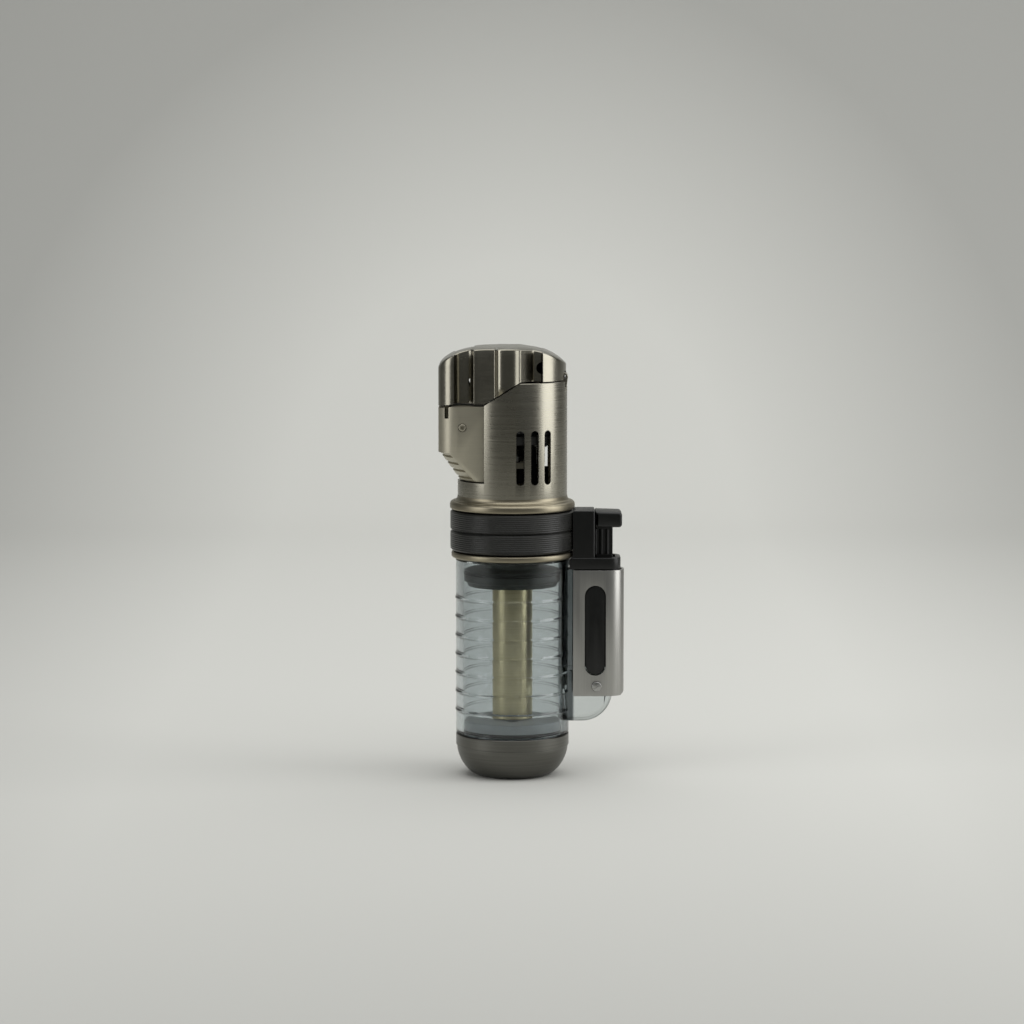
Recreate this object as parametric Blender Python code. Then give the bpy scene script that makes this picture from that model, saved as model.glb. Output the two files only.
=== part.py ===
"""Pocket butane torch: clear ribbed tank, grip band, slotted barrel, flip lid, trigger and igniter.

Metres, +Z up. The tank's axis is Z and the foot stands on Z = 0. The trigger is at -X, the igniter at +X.
"""

import math

import bmesh
import bpy
import numpy as np
from mathutils import Vector

for old in list(bpy.data.objects):
    bpy.data.objects.remove(old, do_unlink=True)

MM = 0.001

# Clearances
FIT = 0.3 * MM  # between neighbours that stay put, and beside moving faces
RUN = 0.15 * MM  # radial, round a hinge pin

# Facet counts
ROUND = 32
MEDIUM = 24
SMALL = 12
OFF_AXIS_TURN = 0.11  # keeps the facets of off-axis holes from lining up with the body's

# Body stack, from the foot up
TANK_R = 14.2 * MM
TANK_WALL = 1.8 * MM
BASE_H = 10.6 * MM
TANK_H = 44.2 * MM
LOWER_RING_H = 1.9 * MM
BAND_H = 10.3 * MM
UPPER_RING_H = 3.1 * MM
BARREL_H = 29.3 * MM
LID_H = 8.4 * MM

# Base cup, dial and filler
CORNER_W = 5.6 * MM  # how far the rounded corner comes in at the foot
CORNER_H = 8.1 * MM
CORNER_POWER = 1.7
BASE_WALL = 0.8 * MM
BASE_FLOOR = 5.5 * MM
SERVICE_Y = 5.0 * MM  # the dial and the filler sit this far from the axis
DIAL_R = 2.6 * MM
DIAL_H = 2.2 * MM
DIAL_RECESS = 0.5 * MM
COIN_SLOT = 0.7 * MM
REGULATOR_R = 1.2 * MM
FILLER_R = 1.9 * MM
FILLER_BORE_R = 1.5 * MM
FILLER_PIN_R = 0.85 * MM

# Tank
RIBS = 7
RIB_PITCH = 4.72 * MM
RIB_TOP_DROP = 9.8 * MM  # tank top to the first rib's middle
RIB_W = 1.2 * MM
RIB_PROUD = 0.3 * MM
LUG_GAP = 1.0 * MM  # between the lug and the sleeve round it
LUG_OUT = 10.8 * MM  # how far the lug reaches out of the tank
LUG_Z0 = 13.8 * MM
LUG_CORNER_R = 7.5 * MM
SPINE_HALF = 3.0 * MM
SPINE_OUT = 1.0 * MM
PLUG_RISE = 5.6 * MM  # height of the bottom plug
TOP_PLUG_DROP = 6.8 * MM  # how deep the top plug goes into the tank
O_RING_R = 0.5 * MM
TUBE_R = 5.0 * MM
TUBE_WALL = 1.1 * MM

# Neck, rings and band
RING_LIP = 1.1 * MM  # how far the rings stand out of the tank
BAND_LIP = 1.4 * MM
RING_BEAD_H = 1.2 * MM  # upper ring, below its cove
BAND_GROOVE = 0.7 * MM
BARREL_STEP = 0.5 * MM  # the barrel is this much slimmer than the tank
BARREL_WALL = 1.0 * MM
NECK_WALL = 1.7 * MM

# Barrel cuts
SLOTS = 3
SLOT_W = 2.07 * MM
SLOT_H = 13.5 * MM
SLOT_RISE = 3.8 * MM  # above the barrel's foot
SLOT_FIRST = 8.3  # degrees from the front, towards the igniter
SLOT_PITCH = 15.7
SIDE_X = -7.0 * MM  # the barrel's wall is open beyond here
SIDE_RISE = 4.4 * MM
SEAM_DROP = 5.6 * MM  # the seam steps down towards the trigger
SEAM_X = 2.0 * MM

# Lid
LID_STEP = 0.3 * MM  # the lid is this much slimmer than the barrel
LID_REACH = 4.7 * MM  # how far the lid and the trigger stand out of the barrel
SIDE_HALF = 10.2 * MM  # half width of the trigger and of the lid's nose
NOSE_R = 3.0 * MM
CROWN_DROP = 4.0 * MM
CROWN_POWER = 3.3
FLUTE_RADII = (6.0 * MM, 4.0 * MM)
FLUTE_PITCH = 24.1
FLUTE_FIRST = -27.5
GULLY_SLOPE = 3.2 * MM  # the gully's sloped side, then its floor, across X
GULLY_W = 5.4 * MM
GULLY_FLOOR = 8.8 * MM
VENT_R = 1.5 * MM
VENT_LOW = 0.1 * MM  # below the seam, in the notch
VENT_HIGH = 3.6 * MM  # above the seam, in the gully
NOTCH_IN = 1.7 * MM  # the notch's middle, inside the barrel's radius
NOTCH_W = 4.8 * MM
NOTCH_DEPTH = 4.5 * MM
NOSE_WALL = 3.4 * MM
NOSE_SAG = 0.7 * MM  # the seam over the trigger comes down a little towards the nose
NOSE_RUN = 3.8 * MM
POCKET_R = 8.6 * MM
POCKET_HALF = 4.3 * MM
ROOF = 2.3 * MM
LINER_H = 1.1 * MM
KNUCKLE_R = 1.25 * MM
KNUCKLE_HALF = 1.3 * MM
EAR_W = 1.6 * MM
HINGE_PIN_R = 0.6 * MM
HINGE_RISE = 1.0 * MM  # above the seam

# Trigger
LID_GAP = 0.6 * MM  # lets the trigger tilt under the lid
TRIGGER_WALL = 1.2 * MM
TRIGGER_INNER_X = -5.6 * MM
TRIGGER_END_WALL = 1.6 * MM
LIP_SLOT_IN = 1.8 * MM  # a slot frees the lip at the trigger's outer end
LIP_SLOT_W = 0.9 * MM
LIP_SLOT_H = 3.8 * MM
PIVOT_IN = 1.3 * MM  # the pin, inside the barrel's radius
PIVOT_RISE = 18.2 * MM  # above the barrel's foot
PIVOT_PIN_R = 0.9 * MM
TOE_RISE = 7.2 * MM
TOE_IN = 5.2 * MM
TOE_STEPS = 4
STEP_LEAN = 0.4  # share of a step's run and rise at which its face ends
STEP_FACE = 0.8
TOE_LAND = 0.12 * MM  # the toe's plain cone is left this far inside the steps' corners
TOE_RIM = 0.7 * MM  # plain edge beside the grooves
FORK_RISE = 7.4 * MM
FORK_T = 1.5 * MM
FORK_HALF = 3.6 * MM
FORK_TIP = 3.0 * MM
FORK_PROUD = 0.15 * MM  # the fork stands this far out of the trigger's floor, above and below

# Valve and burner
VALVE_R = 4.0 * MM
STEM_R = 1.3 * MM
STEM_TOP_R = 1.9 * MM
STEM_COLLAR_R = 3.0 * MM
VALVE_LIFT = 1.15 * MM
CARRIER_RISE = 14.0 * MM  # carrier plate above the barrel's foot
CARRIER_T = 2.0 * MM
CARRIER_GAP = 1.6 * MM  # between the carrier and the trigger's walls
CARRIER_EAR_W = 1.8 * MM
JET_PIPE_R = 0.8 * MM
JET_R = 2.0 * MM
MIXER_R = 3.4 * MM
FLAME_R = 6.0 * MM
FLAME_H = 10.7 * MM
ROD_X = 7.0 * MM
ROD_R = 0.45 * MM
CERAMIC_R = 1.1 * MM
WIRE_R = 0.5 * MM
BAFFLE_LEFT = -3.5 * MM
BAFFLE_GAP = 0.4 * MM  # between the valve and the baffle behind it
BAFFLE_T = 0.8 * MM
BAFFLE_NOTCH_X = 8.1 * MM  # beyond here the baffle is notched
BAFFLE_NOTCH_RISE = 7.3 * MM
BAFFLE_NOTCH_H = 5.3 * MM

# Igniter
SLEEVE_W = 12.8 * MM
SLEEVE_HALF = 5.2 * MM
SLEEVE_WALL = 0.6 * MM
SLEEVE_CORNER_R = 4.6 * MM
SLEEVE_Z0 = 20.4 * MM
SLEEVE_TOP_DROP = 2.7 * MM  # sleeve's top below the tank's top
COLLAR_H = 2.9 * MM
COLLAR_IN = 0.9 * MM
COLLAR_CORNER_R = 3.0 * MM
WINDOW_W = 5.3 * MM
WINDOW_H = 22.7 * MM
WINDOW_RISE = 5.2 * MM
WINDOW_IN = 2.9 * MM
SCREW_RISE = 2.5 * MM
SCREW_IN = 5.9 * MM
SCREW_R = 0.7 * MM
SCREW_HEAD_R = 1.3 * MM
GUIDE_W = 5.0 * MM
GUIDE_HALF = 5.0 * MM
GUIDE_H = 12.3 * MM
CORE_WALL = 1.3 * MM
WELL_ROOM = 0.7 * MM  # between the button's stem and the outer wall of its well
STEM_HALF = 2.6 * MM
BUTTON_TRAVEL = 5.0 * MM
HOOK_W = 6.5 * MM
HOOK_H = 4.0 * MM
HOOK_HALF = 4.6 * MM
HOOK_RISE = 7.6 * MM
GRIP_GROOVES = 3
GRIP_GROOVE_W = 1.0 * MM
GRIP_GROOVE_DEPTH = 0.4 * MM
PIEZO_H = 10.3 * MM
BUTTON_SPRING_EASE = 0.2 * MM  # the spring's middle line inside the button's stem
BUTTON_SPRING_WIRE = 0.25 * MM
PLUNGER_GAP = 0.4 * MM

# Levels along Z
Z_TANK = BASE_H
Z_RING = Z_TANK + TANK_H
Z_BAND = Z_RING + LOWER_RING_H
Z_UPPER = Z_BAND + BAND_H
Z_BARREL = Z_UPPER + UPPER_RING_H
Z_SEAM = Z_BARREL + BARREL_H
Z_CROWN = Z_SEAM + LID_H
Z_SIDE = Z_SEAM - SEAM_DROP
Z_PLUG = BASE_FLOOR + 3.0 * MM
Z_TUBE = Z_PLUG + PLUG_RISE + FIT
Z_TOP_PLUG = Z_RING - TOP_PLUG_DROP
Z_PIVOT = Z_BARREL + PIVOT_RISE
Z_TRIGGER_TOP = Z_SIDE - FIT
Z_CARRIER = Z_BARREL + CARRIER_RISE
Z_DECK = Z_CARRIER + CARRIER_T
Z_FORK = Z_BARREL + FORK_RISE
Z_STEM_COLLAR = Z_FORK + FORK_T + FIT
Z_STEM_TOP = Z_STEM_COLLAR + 2.8 * MM
Z_HINGE = Z_SEAM + HINGE_RISE
Z_SLEEVE_TOP = Z_RING - SLEEVE_TOP_DROP
Z_COLLAR = Z_SLEEVE_TOP + FIT
Z_COLLAR_TOP = Z_COLLAR + COLLAR_H
Z_CORE = SLEEVE_Z0 + 7.3 * MM
Z_PIEZO = Z_CORE + 1.8 * MM
Z_STEM = Z_PIEZO + PIEZO_H + 9.6 * MM  # lower end of the button's stem
Z_WIRE = Z_BAND + BAND_H / 2 - 0.7 * MM

# Radii and stations that follow from the sizes above
TANK_BORE = TANK_R - TANK_WALL
FOOT_R = TANK_R - CORNER_W
CUP_BORE = TANK_R - BASE_WALL
TUBE_BORE = TUBE_R - TUBE_WALL
RING_R = TANK_R + RING_LIP
BAND_R = TANK_R + BAND_LIP
BARREL_R = TANK_R - BARREL_STEP
BARREL_BORE = BARREL_R - BARREL_WALL
NECK_R = BARREL_BORE + 0.2 * MM
SPIGOT_R = BARREL_BORE - FIT
LID_R = BARREL_R - LID_STEP
LID_LEFT = -BARREL_R - LID_REACH
NOTCH_X = -BARREL_R + NOTCH_IN
PIVOT_X = -BARREL_R + PIVOT_IN
CARRIER_HALF = SIDE_HALF - TRIGGER_WALL - CARRIER_GAP
BAFFLE_Y = VALVE_R + BAFFLE_GAP
HINGE_X = LID_R - 0.8 * MM
EAR_Y0 = KNUCKLE_HALF + FIT
EAR_Y1 = EAR_Y0 + EAR_W
SLEEVE_X0 = TANK_R + SPINE_OUT
SLEEVE_X1 = SLEEVE_X0 + SLEEVE_W
CORE_HALF = SLEEVE_HALF - SLEEVE_WALL - FIT
LUG_HALF = SLEEVE_HALF - SLEEVE_WALL - LUG_GAP
GUIDE_X1 = BAND_R + GUIDE_W
STEM_X0 = GUIDE_X1 + FIT
STEM_X1 = SLEEVE_X1 - SLEEVE_WALL - FIT - CORE_WALL - WELL_ROOM
STEM_W = STEM_X1 - STEM_X0
STEM_MID = (STEM_X0 + STEM_X1) / 2
BUTTON_SPRING_R = STEM_W / 2 - BUTTON_SPRING_EASE
PLUNGER_R = BUTTON_SPRING_R - BUTTON_SPRING_WIRE - PLUNGER_GAP
WIRE_X = GUIDE_X1 - 2.4 * MM
WINDOW_X = SLEEVE_X0 + WINDOW_IN + WINDOW_W / 2
WINDOW_Z = SLEEVE_Z0 + WINDOW_RISE + WINDOW_H / 2
SCREW_X = SLEEVE_X0 + SCREW_IN
SCREW_Z = SLEEVE_Z0 + SCREW_RISE


def material(name, colour, roughness, metallic, alpha=1.0):
    """A Principled material with plain values."""
    made = bpy.data.materials.new(name)
    made.use_nodes = True
    shader = made.node_tree.nodes["Principled BSDF"]
    shader.inputs["Base Color"].default_value = (*colour, 1.0)
    shader.inputs["Roughness"].default_value = roughness
    shader.inputs["Metallic"].default_value = metallic
    shader.inputs["Alpha"].default_value = alpha
    return made


GUNMETAL = material("gunmetal", (0.30, 0.285, 0.235), 0.32, 1.0)
RING_METAL = material("ring_metal", (0.36, 0.33, 0.25), 0.28, 1.0)
DARK_METAL = material("dark_metal", (0.16, 0.155, 0.14), 0.35, 1.0)
STEEL = material("steel", (0.56, 0.55, 0.52), 0.30, 1.0)
BRASS = material("brass", (0.55, 0.47, 0.26), 0.30, 1.0)
RUBBER = material("rubber", (0.03, 0.03, 0.03), 0.70, 0.0)
BLACK_PLASTIC = material("black_plastic", (0.02, 0.02, 0.018), 0.40, 0.0)
GREY_PLASTIC = material("grey_plastic", (0.22, 0.23, 0.23), 0.50, 0.0)
CLEAR = material("clear_smoke", (0.55, 0.60, 0.62), 0.06, 0.0, 0.35)
CERAMIC = material("ceramic", (0.85, 0.84, 0.80), 0.45, 0.0)
INSULATION = material("insulation", (0.05, 0.05, 0.05), 0.55, 0.0)


def finish(name, bm, mat):
    """Close the mesh, face it outward, shade its round faces smooth and put it in the scene."""
    bmesh.ops.remove_doubles(bm, verts=bm.verts, dist=1e-7)
    bmesh.ops.recalc_face_normals(bm, faces=bm.faces)
    mesh = bpy.data.meshes.new(name)
    bm.to_mesh(mesh)
    bm.free()
    mesh.materials.append(mat)
    mesh.shade_smooth()
    mesh.set_sharp_from_angle(angle=math.radians(35))
    obj = bpy.data.objects.new(name, mesh)
    bpy.context.collection.objects.link(obj)
    return obj


def turned(name, profile, mat, segments=ROUND, at=(0.0, 0.0)):
    """Spin a closed (radius, height) profile about an upright axis through `at`."""
    bm = bmesh.new()
    verts = [bm.verts.new((r, 0.0, z)) for r, z in profile]
    edges = []
    for a, b in zip(verts, verts[1:] + verts[:1]):
        if a.co.x > 0 or b.co.x > 0:
            edges.append(bm.edges.new((a, b)))
    bmesh.ops.spin(bm, geom=verts + edges, axis=(0, 0, 1), angle=math.tau, steps=segments)
    obj = finish(name, bm, mat)
    obj.location = (*at, 0.0)
    obj.rotation_euler.z = OFF_AXIS_TURN if any(at) else 0.0
    return obj


def prism(name, outline, start, end, mat, along="Z"):
    """Extrude a flat outline between two stations along Z (outline in X, Y) or Y (outline in X, Z)."""

    def place(u, v, w):
        return (u, v, w) if along == "Z" else (u, w, v)

    bm = bmesh.new()
    face = bm.faces.new([bm.verts.new(place(u, v, start)) for u, v in outline])
    grown = bmesh.ops.extrude_face_region(bm, geom=[face])["geom"]
    moved = [g for g in grown if isinstance(g, bmesh.types.BMVert)]
    bmesh.ops.translate(bm, verts=moved, vec=Vector(place(0.0, 0.0, end - start)))
    return finish(name, bm, mat)


def box(name, x, y, z, mat):
    """A block between pairs of X, Y and Z."""
    outline = [(x[0], y[0]), (x[1], y[0]), (x[1], y[1]), (x[0], y[1])]
    return prism(name, outline, z[0], z[1], mat)


def rod_y(name, radius, x, z, y0, y1, mat, segments=SMALL):
    """A round bar along Y."""
    return prism(name, circle(x, z, radius, segments), y0, y1, mat, "Y")


def circle(cx, cy, radius, count, turn=0.0):
    start = math.degrees(turn)
    return arc(cx, cy, radius, start, start + 360.0 * (count - 1) / count, count - 1)


def arc(cx, cy, radius, start, end, steps):
    """Points on an arc, in degrees, both ends included."""
    turns = np.radians(np.linspace(start, end, steps + 1))
    return [(cx + radius * math.cos(t), cy + radius * math.sin(t)) for t in turns]


def rounded(corners, steps=4):
    """An outline whose corners (x, y, radius) are rounded by arcs."""
    points = []
    count = len(corners)
    for i, (x, y, radius) in enumerate(corners):
        here = Vector((x, y))
        if radius == 0:
            points.append((x, y))
            continue
        before = (Vector(corners[i - 1][:2]) - here).normalized()
        after = (Vector(corners[(i + 1) % count][:2]) - here).normalized()
        half = before.angle(after) / 2
        centre = here + (before + after).normalized() * (radius / math.sin(half))
        first = here + before * (radius / math.tan(half)) - centre
        sweep = (math.pi - 2 * half) * (1 if before.cross(after) < 0 else -1)
        for k in range(steps + 1):
            turn = sweep * k / steps
            c, s = math.cos(turn), math.sin(turn)
            points.append((centre.x + c * first.x - s * first.y, centre.y + s * first.x + c * first.y))
    return points


def pill(x, z, width, height, steps=6):
    """A round-ended upright outline."""
    r = width / 2
    reach = height / 2 - r
    return arc(x, z + reach, r, 0, 180, steps) + arc(x, z - reach, r, 180, 360, steps)


def combine(target, tool, operation="DIFFERENCE"):
    """Cut `tool` out of `target`, or join it on. The tool itself is a hidden helper."""
    tool.hide_render = True
    tool.display_type = "WIRE"
    step = target.modifiers.new(tool.name, "BOOLEAN")
    step.operation = operation
    step.solver = "EXACT"
    step.object = tool


def cut(target, *tools):
    for tool in tools:
        combine(target, tool)


def join(target, *tools):
    for tool in tools:
        combine(target, tool, "UNION")


def set_origin(obj, point):
    """Move an object's origin onto its joint without moving its shape."""
    obj.data.transform(obj.matrix_basis)
    shift = Vector(point)
    for vert in obj.data.vertices:
        vert.co -= shift
    obj.matrix_basis.identity()
    obj.location = shift


def tube_along(name, points, radius, mat):
    """A round wire through 3-D points."""
    curve = bpy.data.curves.new(name, "CURVE")
    curve.dimensions = "3D"
    curve.bevel_depth = radius
    curve.bevel_resolution = 1
    curve.use_fill_caps = True
    spline = curve.splines.new("POLY")
    spline.points.add(len(points) - 1)
    for spot, co in zip(spline.points, points):
        spot.co = (*co, 1.0)
    curve.materials.append(mat)
    obj = bpy.data.objects.new(name, curve)
    bpy.context.collection.objects.link(obj)
    return obj


def coil(name, radius, wire, turns, start, end, mat, at=(0.0, 0.0), per_turn=8):
    """An upright compression spring; prints its least gap to itself."""
    t = np.linspace(0.0, 1.0, int(turns * per_turn) + 1)
    angle = math.tau * turns * t
    low, high = start + wire, end - wire
    points = np.stack(
        [at[0] + radius * np.cos(angle), at[1] + radius * np.sin(angle), low + (high - low) * t], axis=1
    )
    report_gap(name, points, wire, per_turn)
    return tube_along(name, points, wire, mat)


def report_gap(name, points, wire, per_turn):
    """Print the least gap between turns of a wound wire."""
    apart = np.linalg.norm(points[:, None] - points[None], axis=2)
    steps = np.abs(np.subtract.outer(np.arange(len(points)), np.arange(len(points))))
    least = apart[steps > per_turn // 2].min() - 2 * wire
    print(f"{name}: least gap to itself {least / MM:.2f} mm")


def corner_curve(steps):
    """The base's rounded corner, a superellipse from the foot to the upright band."""
    points = []
    for t in np.linspace(0.0, math.pi / 2, steps + 1):
        across = math.sin(t) ** (2 / CORNER_POWER)
        down = math.cos(t) ** (2 / CORNER_POWER)
        points.append((FOOT_R + CORNER_W * across, CORNER_H * (1 - down)))
    return points


def base_cup():
    profile = [(0.0, 0.0), *corner_curve(6), (TANK_R, BASE_H), (CUP_BORE, BASE_H)]
    profile += [(CUP_BORE, BASE_FLOOR + 2 * MM), (CUP_BORE - 2 * MM, BASE_FLOOR), (0.0, BASE_FLOOR)]
    cup = turned("base_cup", profile, DARK_METAL)
    well, through = DIAL_RECESS + DIAL_H + FIT, BASE_H
    wide, narrow = DIAL_R + FIT, REGULATOR_R + FIT
    dial_well = [(0.0, -MM), (wide, -MM), (wide, well), (narrow, well), (narrow, through), (0.0, through)]
    filler_hole = [(0.0, -MM), (FILLER_R + FIT, -MM), (FILLER_R + FIT, through), (0.0, through)]
    cut(
        cup,
        turned("dial_well", dial_well, DARK_METAL, SMALL, (0.0, -SERVICE_Y)),
        turned("filler_hole", filler_hole, DARK_METAL, SMALL, (0.0, SERVICE_Y)),
    )


def dial():
    low, high = DIAL_RECESS, DIAL_RECESS + DIAL_H
    profile = [
        (0.0, low), (DIAL_R - 0.3 * MM, low), (DIAL_R, low + 0.3 * MM), (DIAL_R, high), (0.0, high)
    ]
    knob = turned("flame_dial", profile, BRASS, SMALL, (0.0, -SERVICE_Y))
    half = COIN_SLOT / 2
    slot = box(
        "coin_slot", (-DIAL_R * 2, DIAL_R * 2), (-SERVICE_Y - half, -SERVICE_Y + half),
        (-MM, low + 0.8 * MM), BRASS,
    )
    cut(knob, slot)
    top = Z_PLUG + PLUG_RISE - MM
    shaft = [
        (0.0, high + FIT), (REGULATOR_R, high + FIT), (REGULATOR_R, top - MM), (0.3 * MM, top), (0.0, top)
    ]
    turned("regulator_screw", shaft, STEEL, SMALL, (0.0, -SERVICE_Y))


def filler():
    top = Z_PLUG + PLUG_RISE - 0.4 * MM
    neck = BASE_FLOOR + 1.6 * MM
    port = FILLER_PIN_R + FIT
    flange = FILLER_R + 0.9 * MM
    seat = BASE_FLOOR + FIT
    body = [
        (port, 0.6 * MM), (FILLER_R, 0.6 * MM), (FILLER_R, seat), (flange, seat),
        (flange, seat + 0.9 * MM),
    ]
    body += [(FILLER_R, seat + 0.9 * MM), (FILLER_R, top), (0.6 * MM, top), (0.6 * MM, top - MM)]
    body += [(FILLER_BORE_R, top - MM), (FILLER_BORE_R, neck), (port, neck)]
    at = (0.0, SERVICE_Y)
    turned("filler_body", body, BRASS, SMALL, at)
    rim = FILLER_BORE_R - FIT
    pin = [
        (0.0, MM), (FILLER_PIN_R, MM), (FILLER_PIN_R, neck + FIT), (rim, neck + FIT),
        (rim, neck + 1.2 * MM),
    ]
    pin += [(0.0, neck + 1.2 * MM)]
    turned("filler_stem", pin, STEEL, SMALL, at)
    coil("filler_spring", MM, 0.18 * MM, 3, neck + 1.4 * MM, top - 1.2 * MM, STEEL, at)


def groove(profile_r, middle):
    """Profile points of an O-ring groove in a plug's side, going up."""
    deep = profile_r - 2 * O_RING_R - 0.15 * MM
    half = O_RING_R + FIT
    return [
        (profile_r, middle - half), (deep, middle - half), (deep, middle + half),
        (profile_r, middle + half),
    ]


def o_ring(name, bore, middle):
    turned(name, circle(bore - O_RING_R - 0.15 * MM, middle, O_RING_R, 6), RUBBER, 20)


def tank():
    low, bottom = BASE_FLOOR + 2.4 * MM, Z_TANK + FIT
    spigot = CUP_BORE - FIT
    profile = [(TANK_BORE, low), (spigot, low), (spigot, bottom), (TANK_R, bottom)]
    for k in reversed(range(RIBS)):
        z = Z_RING - RIB_TOP_DROP - k * RIB_PITCH
        for dz, out in ((-0.5, 0.0), (0.0, 1.0), (0.5, 0.0)):
            profile.append((TANK_R + RIB_PROUD * out, z + RIB_W * dz))
    profile += [(TANK_R, Z_RING), (TANK_BORE, Z_RING)]
    body = turned("tank_body", profile, CLEAR)
    root = TANK_R - MM
    lug_x = TANK_R + LUG_OUT
    top = Z_CORE - FIT
    lug = rounded([(root, LUG_Z0, 0), (lug_x, LUG_Z0, LUG_CORNER_R), (lug_x, top, 0), (root, top, 0)], 6)
    hole = rod_y("lug_hole", SCREW_R + FIT, SCREW_X, SCREW_Z, -LUG_HALF - MM, -0.7 * MM, CLEAR, 12)
    spine = ((root, SLEEVE_X0), (-SPINE_HALF, SPINE_HALF), (LUG_Z0 + LUG_CORNER_R, Z_SLEEVE_TOP))
    join(body, prism("lug", lug, -LUG_HALF, LUG_HALF, CLEAR, "Y"), box("spine", *spine, CLEAR))
    cut(body, hole)


def plugs():
    r, top = TANK_BORE - FIT, Z_PLUG + PLUG_RISE
    nipple = TUBE_BORE - FIT
    mid = Z_PLUG + PLUG_RISE / 2
    low = [(0.0, Z_PLUG), (r, Z_PLUG), *groove(r, mid), (r, top), (nipple, top), (nipple, top + 3 * MM)]
    low += [(MM, top + 3 * MM), (MM, Z_PLUG + 2 * MM), (0.0, Z_PLUG + 2 * MM)]
    plug = turned("tank_bottom_plug", low, GREY_PLASTIC, MEDIUM)
    seat, hole, through = FILLER_R + 1.2 * MM, FILLER_R + FIT, top + MM
    stepped = [(0.0, 0.0), (seat, 0.0), (seat, Z_PLUG), (hole, Z_PLUG), (hole, through), (0.0, through)]
    cut(plug, turned("plug_filler", stepped, GREY_PLASTIC, SMALL, (0.0, SERVICE_Y)))
    screw_hole = [(0.0, 0.0), (REGULATOR_R + FIT, 0.0), (REGULATOR_R + FIT, through), (0.0, through)]
    cut(plug, turned("plug_screw", screw_hole, GREY_PLASTIC, SMALL, (0.0, -SERVICE_Y)))
    o_ring("lower_o_ring", TANK_BORE, mid)

    bore, flange = VALVE_R + FIT, TANK_R - 0.9 * MM
    mid = Z_RING - TOP_PLUG_DROP / 2
    high = [
        (bore, Z_TOP_PLUG), (r - MM, Z_TOP_PLUG), (r - 0.6 * MM, Z_TOP_PLUG + MM),
        (r, Z_TOP_PLUG + 1.4 * MM),
    ]
    high += [
        *groove(r, mid), (r, Z_RING + FIT), (flange, Z_RING + FIT), (flange, Z_BAND - FIT),
        (bore, Z_BAND - FIT),
    ]
    turned("tank_top_plug", high, BLACK_PLASTIC, MEDIUM)
    o_ring("upper_o_ring", TANK_BORE, mid)

    end = Z_TOP_PLUG - FIT
    tube = [(TUBE_BORE, Z_TUBE), (TUBE_R, Z_TUBE), (TUBE_R, end), (TUBE_BORE, end)]
    turned("centre_tube", tube, BRASS, MEDIUM)


def rings():
    low, high = Z_RING + FIT, Z_BAND
    soft = 0.5 * MM
    inner = TANK_R - 0.6 * MM
    lower = [
        (inner, low), (RING_R - soft, low), (RING_R, low + soft), (RING_R, high - soft),
        (RING_R - soft, high),
    ]
    lower += [(inner, high)]
    turned("lower_trim_ring", lower, RING_METAL)

    low, high = Z_UPPER + FIT, Z_BARREL
    inner = NECK_R + FIT
    upper = [(inner, low), (BAND_R - 0.2 * MM, low), (BAND_R + 0.05 * MM, low + 0.7 * MM)]
    foot, slim = low + RING_BEAD_H, BARREL_R + 0.1 * MM
    upper.append((BAND_R - 0.1 * MM, foot))
    for turn in (25, 55, 90):
        swing = math.radians(turn)
        out = (BAND_R - 0.1 * MM - slim) * (1 - math.sin(swing))
        upper.append((slim + out, foot + (high - foot) * (1 - math.cos(swing))))
    upper.append((inner, high))
    turned("upper_trim_ring", upper, RING_METAL)

    low, high = Z_BAND + FIT, Z_UPPER
    lobe = (high - low) / 2
    band = [(inner, low)]
    for start in (low, low + lobe):
        for share, dip in ((0.0, 1.0), (0.08, 0.3), (0.22, 0.0), (0.78, 0.0), (0.92, 0.3)):
            band.append((BAND_R - BAND_GROOVE * dip, start + lobe * share))
    band += [(BAND_R - BAND_GROOVE, high), (inner, high)]
    rubber = turned("grip_band", band, RUBBER)

    deck = Z_BARREL - FIT
    bore = VALVE_R + FIT
    hollow = NECK_R - NECK_WALL
    neck = [
        (bore, deck - 2.7 * MM), (hollow, deck - 2.7 * MM), (hollow, Z_BAND), (NECK_R, Z_BAND),
        (NECK_R, Z_BARREL),
    ]
    neck += [
        (SPIGOT_R, Z_BARREL), (SPIGOT_R, Z_BARREL + 4 * MM), (SPIGOT_R - 1.4 * MM, Z_BARREL + 4 * MM)
    ]
    neck += [(SPIGOT_R - 1.4 * MM, deck), (bore, deck)]
    frame = turned("neck_frame", neck, GREY_PLASTIC, MEDIUM)
    riser = [(0.0, Z_WIRE), (WIRE_R + FIT, Z_WIRE), (WIRE_R + FIT, Z_BARREL + MM), (0.0, Z_BARREL + MM)]
    cut(frame, wire_hole("neck_wire_hole"), turned("neck_riser", riser, GREY_PLASTIC, 12, (ROD_X, 0.0)))
    cut(rubber, wire_hole("band_wire_hole"))


def wire_hole(name):
    """A hole along X for the ignition wire, from inside the neck to the igniter."""
    size = WIRE_R + FIT
    tool = prism(name, circle(0.0, 0.0, size, SMALL, OFF_AXIS_TURN), ROD_X, WIRE_X, INSULATION)
    for vert in tool.data.vertices:
        vert.co = Vector((vert.co.z, vert.co.x, Z_WIRE + vert.co.y))
    return tool


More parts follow.
